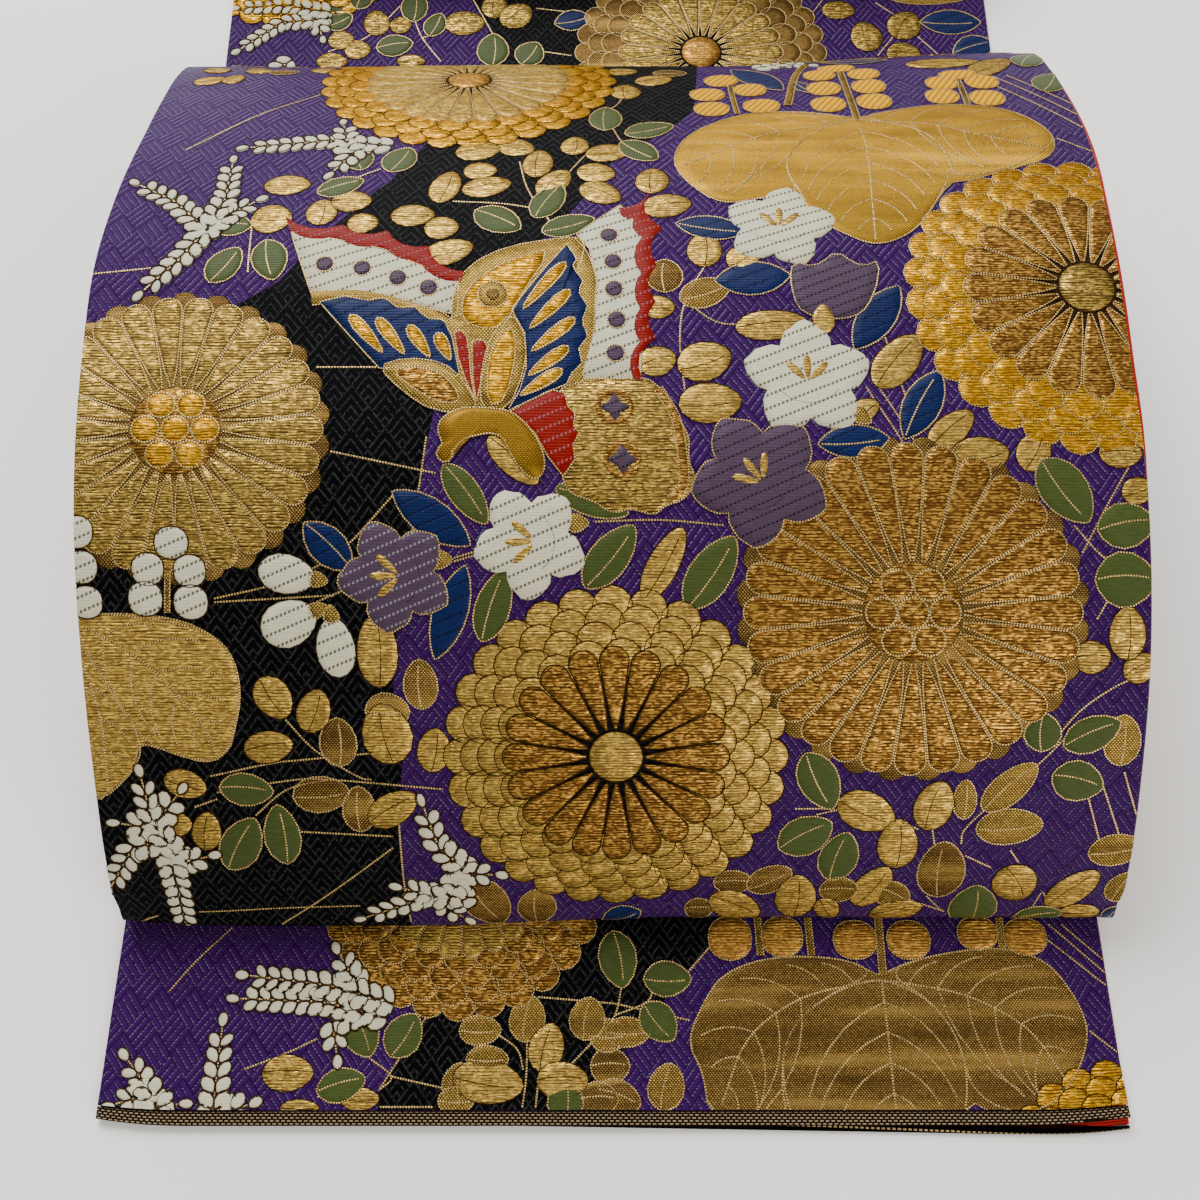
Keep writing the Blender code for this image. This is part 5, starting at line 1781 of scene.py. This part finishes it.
def plain_runs():
    """Where the plain cloth of each stretch starts and ends along it, short of its seams and its end band."""
    gap, banded = SEAM_GAP / 2, BORDER_WIDTH + SEAM_GAP
    taiko = STRETCHES["taiko"].along
    return {
        "tare": (banded, STRETCHES["tare"].along[-1] - gap),
        "taiko": (taiko[0] + gap, taiko[-1] - gap),
        "upper": (UPPER_FOLD + gap, STACK_REAR - gap),
        "te": (gap, TE_LENGTH - banded),
    }


class OBI_OT_cloth(bpy.types.Operator):
    """Lay the brocade face of each stretch: tare, drum, upper stretch and te"""

    bl_idname = "obi.cloth"
    bl_label = "Brocade Cloth"

    def execute(self, context):
        for name, (start, end) in plain_runs().items():
            cloth = swept_cloth(f"{name}_brocade", STRETCHES[name], start, end, FACE_SIDE, ["purple_ground"])
            settle(cloth, [f"{name}_face"])
        return {"FINISHED"}


class OBI_OT_lining(bpy.types.Operator):
    """Lay the red lining behind each stretch"""

    bl_idname = "obi.lining"
    bl_label = "Lining"

    def execute(self, context):
        bends = {"tare": tare_lining_bend, "taiko": drum_lining_bend}
        for name, (start, end) in plain_runs().items():
            cloth = swept_cloth(
                f"{name}_lining_silk", STRETCHES[name], start, end, LINING_SIDE, ["lining_silk"],
                bends.get(name), LINING_SHIFT,
            )
            settle(cloth, [f"{name}_lining"])
        return {"FINISHED"}


class OBI_OT_end_bands(bpy.types.Operator):
    """Weave the bands at both ends of the obi"""

    bl_idname = "obi.end_bands"
    bl_label = "End Bands"

    def execute(self, context):
        ends = {
            "tare": (0.0, BORDER_WIDTH, tare_lining_bend),
            "te": (TE_LENGTH - BORDER_WIDTH, TE_LENGTH, None),
        }
        for name, (start, end, bend) in ends.items():
            for part, side, shift, finish in (
                ("face", FACE_SIDE, 0.0, "woven_border"),
                ("lining", LINING_SIDE, LINING_SHIFT, "lining_border"),
            ):
                bent = bend if part == "lining" else None
                band = swept_cloth(
                    f"{name}_band_{part}", STRETCHES[name], start, end, side, [finish], bent, shift
                )
                if name == "te":
                    self.measure_from(band, start)
                settle(band, [f"{name}_border_{part}"])
        return {"FINISHED"}

    def measure_from(self, band, start):
        """The te band's pattern runs from its own edge."""
        weave = band.data.uv_layers["weave"].data
        flat = np.empty(len(weave) * 2)
        weave.foreach_get("uv", flat)
        flat[1::2] = BORDER_WIDTH - (flat[1::2] - start)
        weave.foreach_set("uv", flat)


class OBI_OT_folded_layers(bpy.types.Operator):
    """Fold the rest of the obi into its stack"""

    bl_idname = "obi.folded_layers"
    bl_label = "Folded Layers"

    def execute(self, context):
        stretch = STRETCHES["folded"]
        gap = SEAM_GAP / 2
        side = (LINING_SIDE[0], FACE_SIDE[1])
        layers = swept_cloth(
            "folded_cloth", stretch, gap, stretch.along[-1] - gap, side, ["lining_silk", "purple_ground"],
            columns=12,
        )
        settle(layers, ["folded_layers"])
        return {"FINISHED"}


class OBI_OT_black_ground(bpy.types.Operator):
    """Weave the black parts of the ground"""

    bl_idname = "obi.black_ground"
    bl_label = "Black Ground"

    def execute(self, context):
        for name in FIGURED:
            self.lay(name)
        return {"FINISHED"}

    def lay(self, name):
        """One black field, knit in rows that match the cloth's own and columns a centimetre wide."""
        stretch = STRETCHES[name]
        start, end = ENDS[name]
        knit = bmesh.new()
        knit.faces.new([knit.verts.new((x * CM, s * CM, 0)) for x, s in design(BLACK, name)])
        trim(knit, start, end, GROUND_INSET)
        bmesh.ops.triangulate(knit, faces=knit.faces)
        for along in stretch.rows(start, end)[1:-1]:
            cut(knit, (0, along), (0, 1))
        for i in range(-15, 16):
            cut(knit, (i * CM, 0), (1, 0))
        for face in knit.faces:
            if face.normal.z < 0:
                face.normal_flip()
        mesh = bpy.data.meshes.new(f"{name}_black_ground")
        bend_on(knit, mesh, stretch, GROUND_LIFT, ["black_ground"])


def weave_each(name, draw, stretches=FIGURED):
    """Draws one group of figures on each stretch and weaves it in."""
    for stretch in stretches:
        figures = Figures(stretch)
        draw(figures, stretch)
        if figures.count:
            figures.weave_in(f"{stretch}_{name}", *ENDS[stretch])


class OBI_OT_leaves(bpy.types.Operator):
    """Weave the green, blue and gold leaves"""

    bl_idname = "obi.leaves"
    bl_label = "Leaves"

    def execute(self, context):
        weave_each("leaves", self.sketch)
        return {"FINISHED"}

    def sketch(self, figures, stretch):
        for kind, rows in design(LEAVES, stretch).items():
            for i, row in enumerate(rows):
                draw_leaf(figures, *row, kind, LEAF_LEVELS[kind] + 0.02 * (i % 3))


class OBI_OT_chrysanthemums(bpy.types.Operator):
    """Weave the chrysanthemums"""

    bl_idname = "obi.chrysanthemums"
    bl_label = "Chrysanthemums"

    def execute(self, context):
        weave_each("chrysanthemums", self.sketch)
        return {"FINISHED"}

    def sketch(self, figures, stretch):
        for x, s, name in design(FLOWERS, stretch):
            draw_flower(figures, x, s, name)


class OBI_OT_paulownias(bpy.types.Operator):
    """Weave the paulownia leaves and their blossoms"""

    bl_idname = "obi.paulownias"
    bl_label = "Paulownias"

    def execute(self, context):
        weave_each("paulownias", self.sketch)
        return {"FINISHED"}

    def sketch(self, figures, stretch):
        for row in design(PAULOWNIAS, stretch):
            draw_paulownia(figures, *row)
        for kind, rows in design(BLOSSOMS, stretch).items():
            for x, s, long, wide, turn in rows:
                shape = turned(leaf_outline(long * 1.06, wide * 1.06, 16, 0.0, 0.36), x, s, turn)
                line = "dark_weft" if kind == "white_stitched" else "outline_thread"
                figures.outlined(shape, kind, 0.34, line, 0.035, crown=1.4)
        for path, wide in design(STEMS, stretch):
            figures.band(curve_points(path), wide, "mesh_gold", 0.30, flat=True)
            for side in (-1, 1):
                figures.thread(curve_points(path) + np.array([side * wide / 2, 0]), 0.34, 0.04)


class OBI_OT_bellflowers(bpy.types.Operator):
    """Weave the bellflowers and their buds"""

    bl_idname = "obi.bellflowers"
    bl_label = "Bellflowers"

    def execute(self, context):
        weave_each("bellflowers", self.sketch, ("taiko", "te"))
        return {"FINISHED"}

    def sketch(self, figures, stretch):
        for row in BELLFLOWERS:
            draw_bellflower(figures, *row)
        for x, s, long, wide, turn in BUDS:
            shape = turned(leaf_outline(long, wide, 16, 0.12), x, s, turn)
            figures.outlined(shape, "white_stitched", 0.34, "dark_weft", 0.03, crown=1.6, tone=0.1)
            end = turned([(long / 2 + 0.06, 0)], x, s, turn)[0]
            shape = turned(teardrop_outline(0.55, 0.42), *end, turn + 180)
            figures.outlined(shape, "bright_mesh", 0.40, rings=2)
        for x, s, turn in CALYXES:
            shape = turned(teardrop_outline(0.62, 0.50), x, s, turn + 180)
            figures.outlined(shape, "bright_mesh", 0.38, rings=2)
        shape = resampled(rounded(TULIP, 1), 28)
        figures.outlined(shape, "violet_silk", 0.40, tone=0.15, rings=4, width=0.04)
        figures.dome(turned(leaf_outline(1.0, 0.7, 12), *TULIP_CUP, 90), "bright_gold", 0.44)


class OBI_OT_sprays(bpy.types.Operator):
    """Weave the white sprays"""

    bl_idname = "obi.sprays"
    bl_label = "White Sprays"

    def execute(self, context):
        weave_each("sprays", self.sketch)
        return {"FINISHED"}

    def sketch(self, figures, stretch):
        for stem in design(SPRAYS, stretch):
            draw_spray(figures, stem)


class OBI_OT_butterfly(bpy.types.Operator):
    """Weave the butterfly"""

    bl_idname = "obi.butterfly"
    bl_label = "Butterfly"

    def execute(self, context):
        weave_each("butterfly", lambda figures, stretch: draw_butterfly(figures), ("taiko", "te"))
        return {"FINISHED"}


class OBI_OT_threads(bpy.types.Operator):
    """Lay the stems and the long gold threads"""

    bl_idname = "obi.threads"
    bl_label = "Gold Threads"

    def execute(self, context):
        weave_each("gold_threads", self.sketch)
        return {"FINISHED"}

    def sketch(self, figures, stretch):
        for path in design(THREADS, stretch):
            figures.thread(curve_points(path) if len(path) > 2 else path, 0.20)


class OBI_OT_declare(bpy.types.Operator):
    """Gather each stretch's figure pieces and work out its length; nothing is kept or set on them"""

    bl_idname = "obi.declare"
    bl_label = "Declare Sheets"

    def execute(self, context):
        on = {"taiko": ["tare_brocade"], "te": ["folded_cloth"]}
        lengths = {
            "tare": STRETCHES["tare"].along[-1],
            "taiko": STRETCHES["taiko"].along[-1] - STRETCHES["taiko"].along[0],
            "upper": STACK_REAR - UPPER_FOLD,
            "te": TE_LENGTH,
        }
        for name, run in lengths.items():
            figures = [o for o in bpy.data.objects if o.name.startswith(name + "_") and self.is_figure(o)]
            held = "folded" if name in on else "laid"
            banded = BORDER_WIDTH + SEAM_GAP if name in ("tare", "te") else 0.0
            for piece, carried in (("brocade", figures), ("lining_silk", [])):
                run - banded
        return {"FINISHED"}

    def is_figure(self, piece):
        return not piece.name.endswith(("_brocade", "_lining_silk", "_face", "_lining"))


TABLE_SIZE = 8.0
CAMERA_SPOT = (-0.0036, -0.02935)  # across and behind the middle of the tare's hem


class OBI_OT_stage(bpy.types.Operator):
    """Set out the table, the lamps and the camera"""

    bl_idname = "obi.stage"
    bl_label = "Stage"

    def execute(self, context):
        stage = context.scene.obi_stage
        self.table(context.scene.obi_colours)
        self.lamps(context, stage)
        self.camera(context, stage)
        return {"FINISHED"}

    def table(self, colours):
        bpy.ops.object.select_all(action="DESELECT")
        bpy.ops.mesh.primitive_plane_add(size=TABLE_SIZE)
        floor = bpy.context.active_object
        floor.name = floor.data.name = "table_top"
        finish = Finish("table_top", 0.6)
        spot = finish.node("ShaderNodeTexCoord").outputs["Object"]
        x, y, _ = finish.parts(spot)
        cloud = finish.noise(x * 3, y * 3, detail=3.0)
        grain = finish.noise(x * 240, y * 240)
        base = finish.mix(cloud.step(0.3, 0.7) * 0.08, colours.floor, darker(colours.floor, 0.8))
        floor.data.materials.append(finish.paint(base, relief=grain, depth=0.00002))

    def lamps(self, context, stage):
        world = bpy.data.worlds.new("room")
        world.use_nodes = True
        light, strength = world.node_tree.nodes["Background"].inputs[:2]
        light.default_value, strength.default_value = (1.0, 0.985, 0.96, 1.0), stage.sky
        context.scene.world = world
        for name, place, aim, size, colour_of_light, power in (
            ("key_lamp", (-0.55, 1.35, 1.45), (0.0, -0.1, 0.0), 1.5, (1.0, 1.0, 1.0), stage.key_power),
            ("fill_lamp", (0.9, -1.5, 0.8), (0.1, -0.35, 0.0), 1.2, (1.0, 0.95, 0.86), stage.fill_power),
        ):
            lamp = bpy.data.lights.new(name, "AREA")
            lamp.energy, lamp.size, lamp.color = power, size, colour_of_light
            holder = new_object(name, lamp)
            holder.location = place
            way = np.array(aim) - np.array(place)
            holder.rotation_euler = (
                math.acos(-way[2] / np.linalg.norm(way)), 0.0, math.atan2(way[1], way[0]) - math.pi / 2
            )

    def camera(self, context, stage):
        camera = bpy.data.cameras.new("camera")
        camera.lens, camera.sensor_width = stage.lens, 36.0
        holder = new_object("camera", camera)
        holder.location = (*(FRAME_SHIFT[:2] + CAMERA_SPOT), stage.camera_height)
        holder.rotation_euler = (stage.camera_tilt, 0.0, 0.0)
        context.scene.camera = holder


class OBI_PT_panel(bpy.types.Panel):
    bl_idname = "OBI_PT_panel"
    bl_label = "Obi"
    bl_space_type = "VIEW_3D"
    bl_region_type = "UI"
    bl_category = "Obi"

    def draw(self, context):
        for group in (context.scene.obi_weave, context.scene.obi_colours, context.scene.obi_stage):
            for name in group.__annotations__:
                self.layout.prop(group, name)
        for step in STEPS:
            self.layout.operator(step.bl_idname)


GROUPS = {"obi_weave": ObiWeave, "obi_colours": ObiColours, "obi_stage": ObiStage}
STEPS = (
    OBI_OT_finishes, OBI_OT_cloth, OBI_OT_lining, OBI_OT_end_bands, OBI_OT_folded_layers,
    OBI_OT_black_ground, OBI_OT_leaves, OBI_OT_chrysanthemums, OBI_OT_paulownias, OBI_OT_bellflowers,
    OBI_OT_sprays, OBI_OT_butterfly, OBI_OT_threads, OBI_OT_stage, OBI_OT_declare,
)


def register():
    for name, group in GROUPS.items():
        bpy.utils.register_class(group)
        setattr(bpy.types.Scene, name, PointerProperty(type=group))
    for step in (*STEPS, OBI_PT_panel):
        bpy.utils.register_class(step)


def unregister():
    for step in reversed((*STEPS, OBI_PT_panel)):
        bpy.utils.unregister_class(step)
    for name, group in GROUPS.items():
        delattr(bpy.types.Scene, name)
        bpy.utils.unregister_class(group)


def main():
    register()
    for step in STEPS:
        group, name = step.bl_idname.split(".")
        getattr(getattr(bpy.ops, group), name)()


if __name__ == "__main__":
    main()
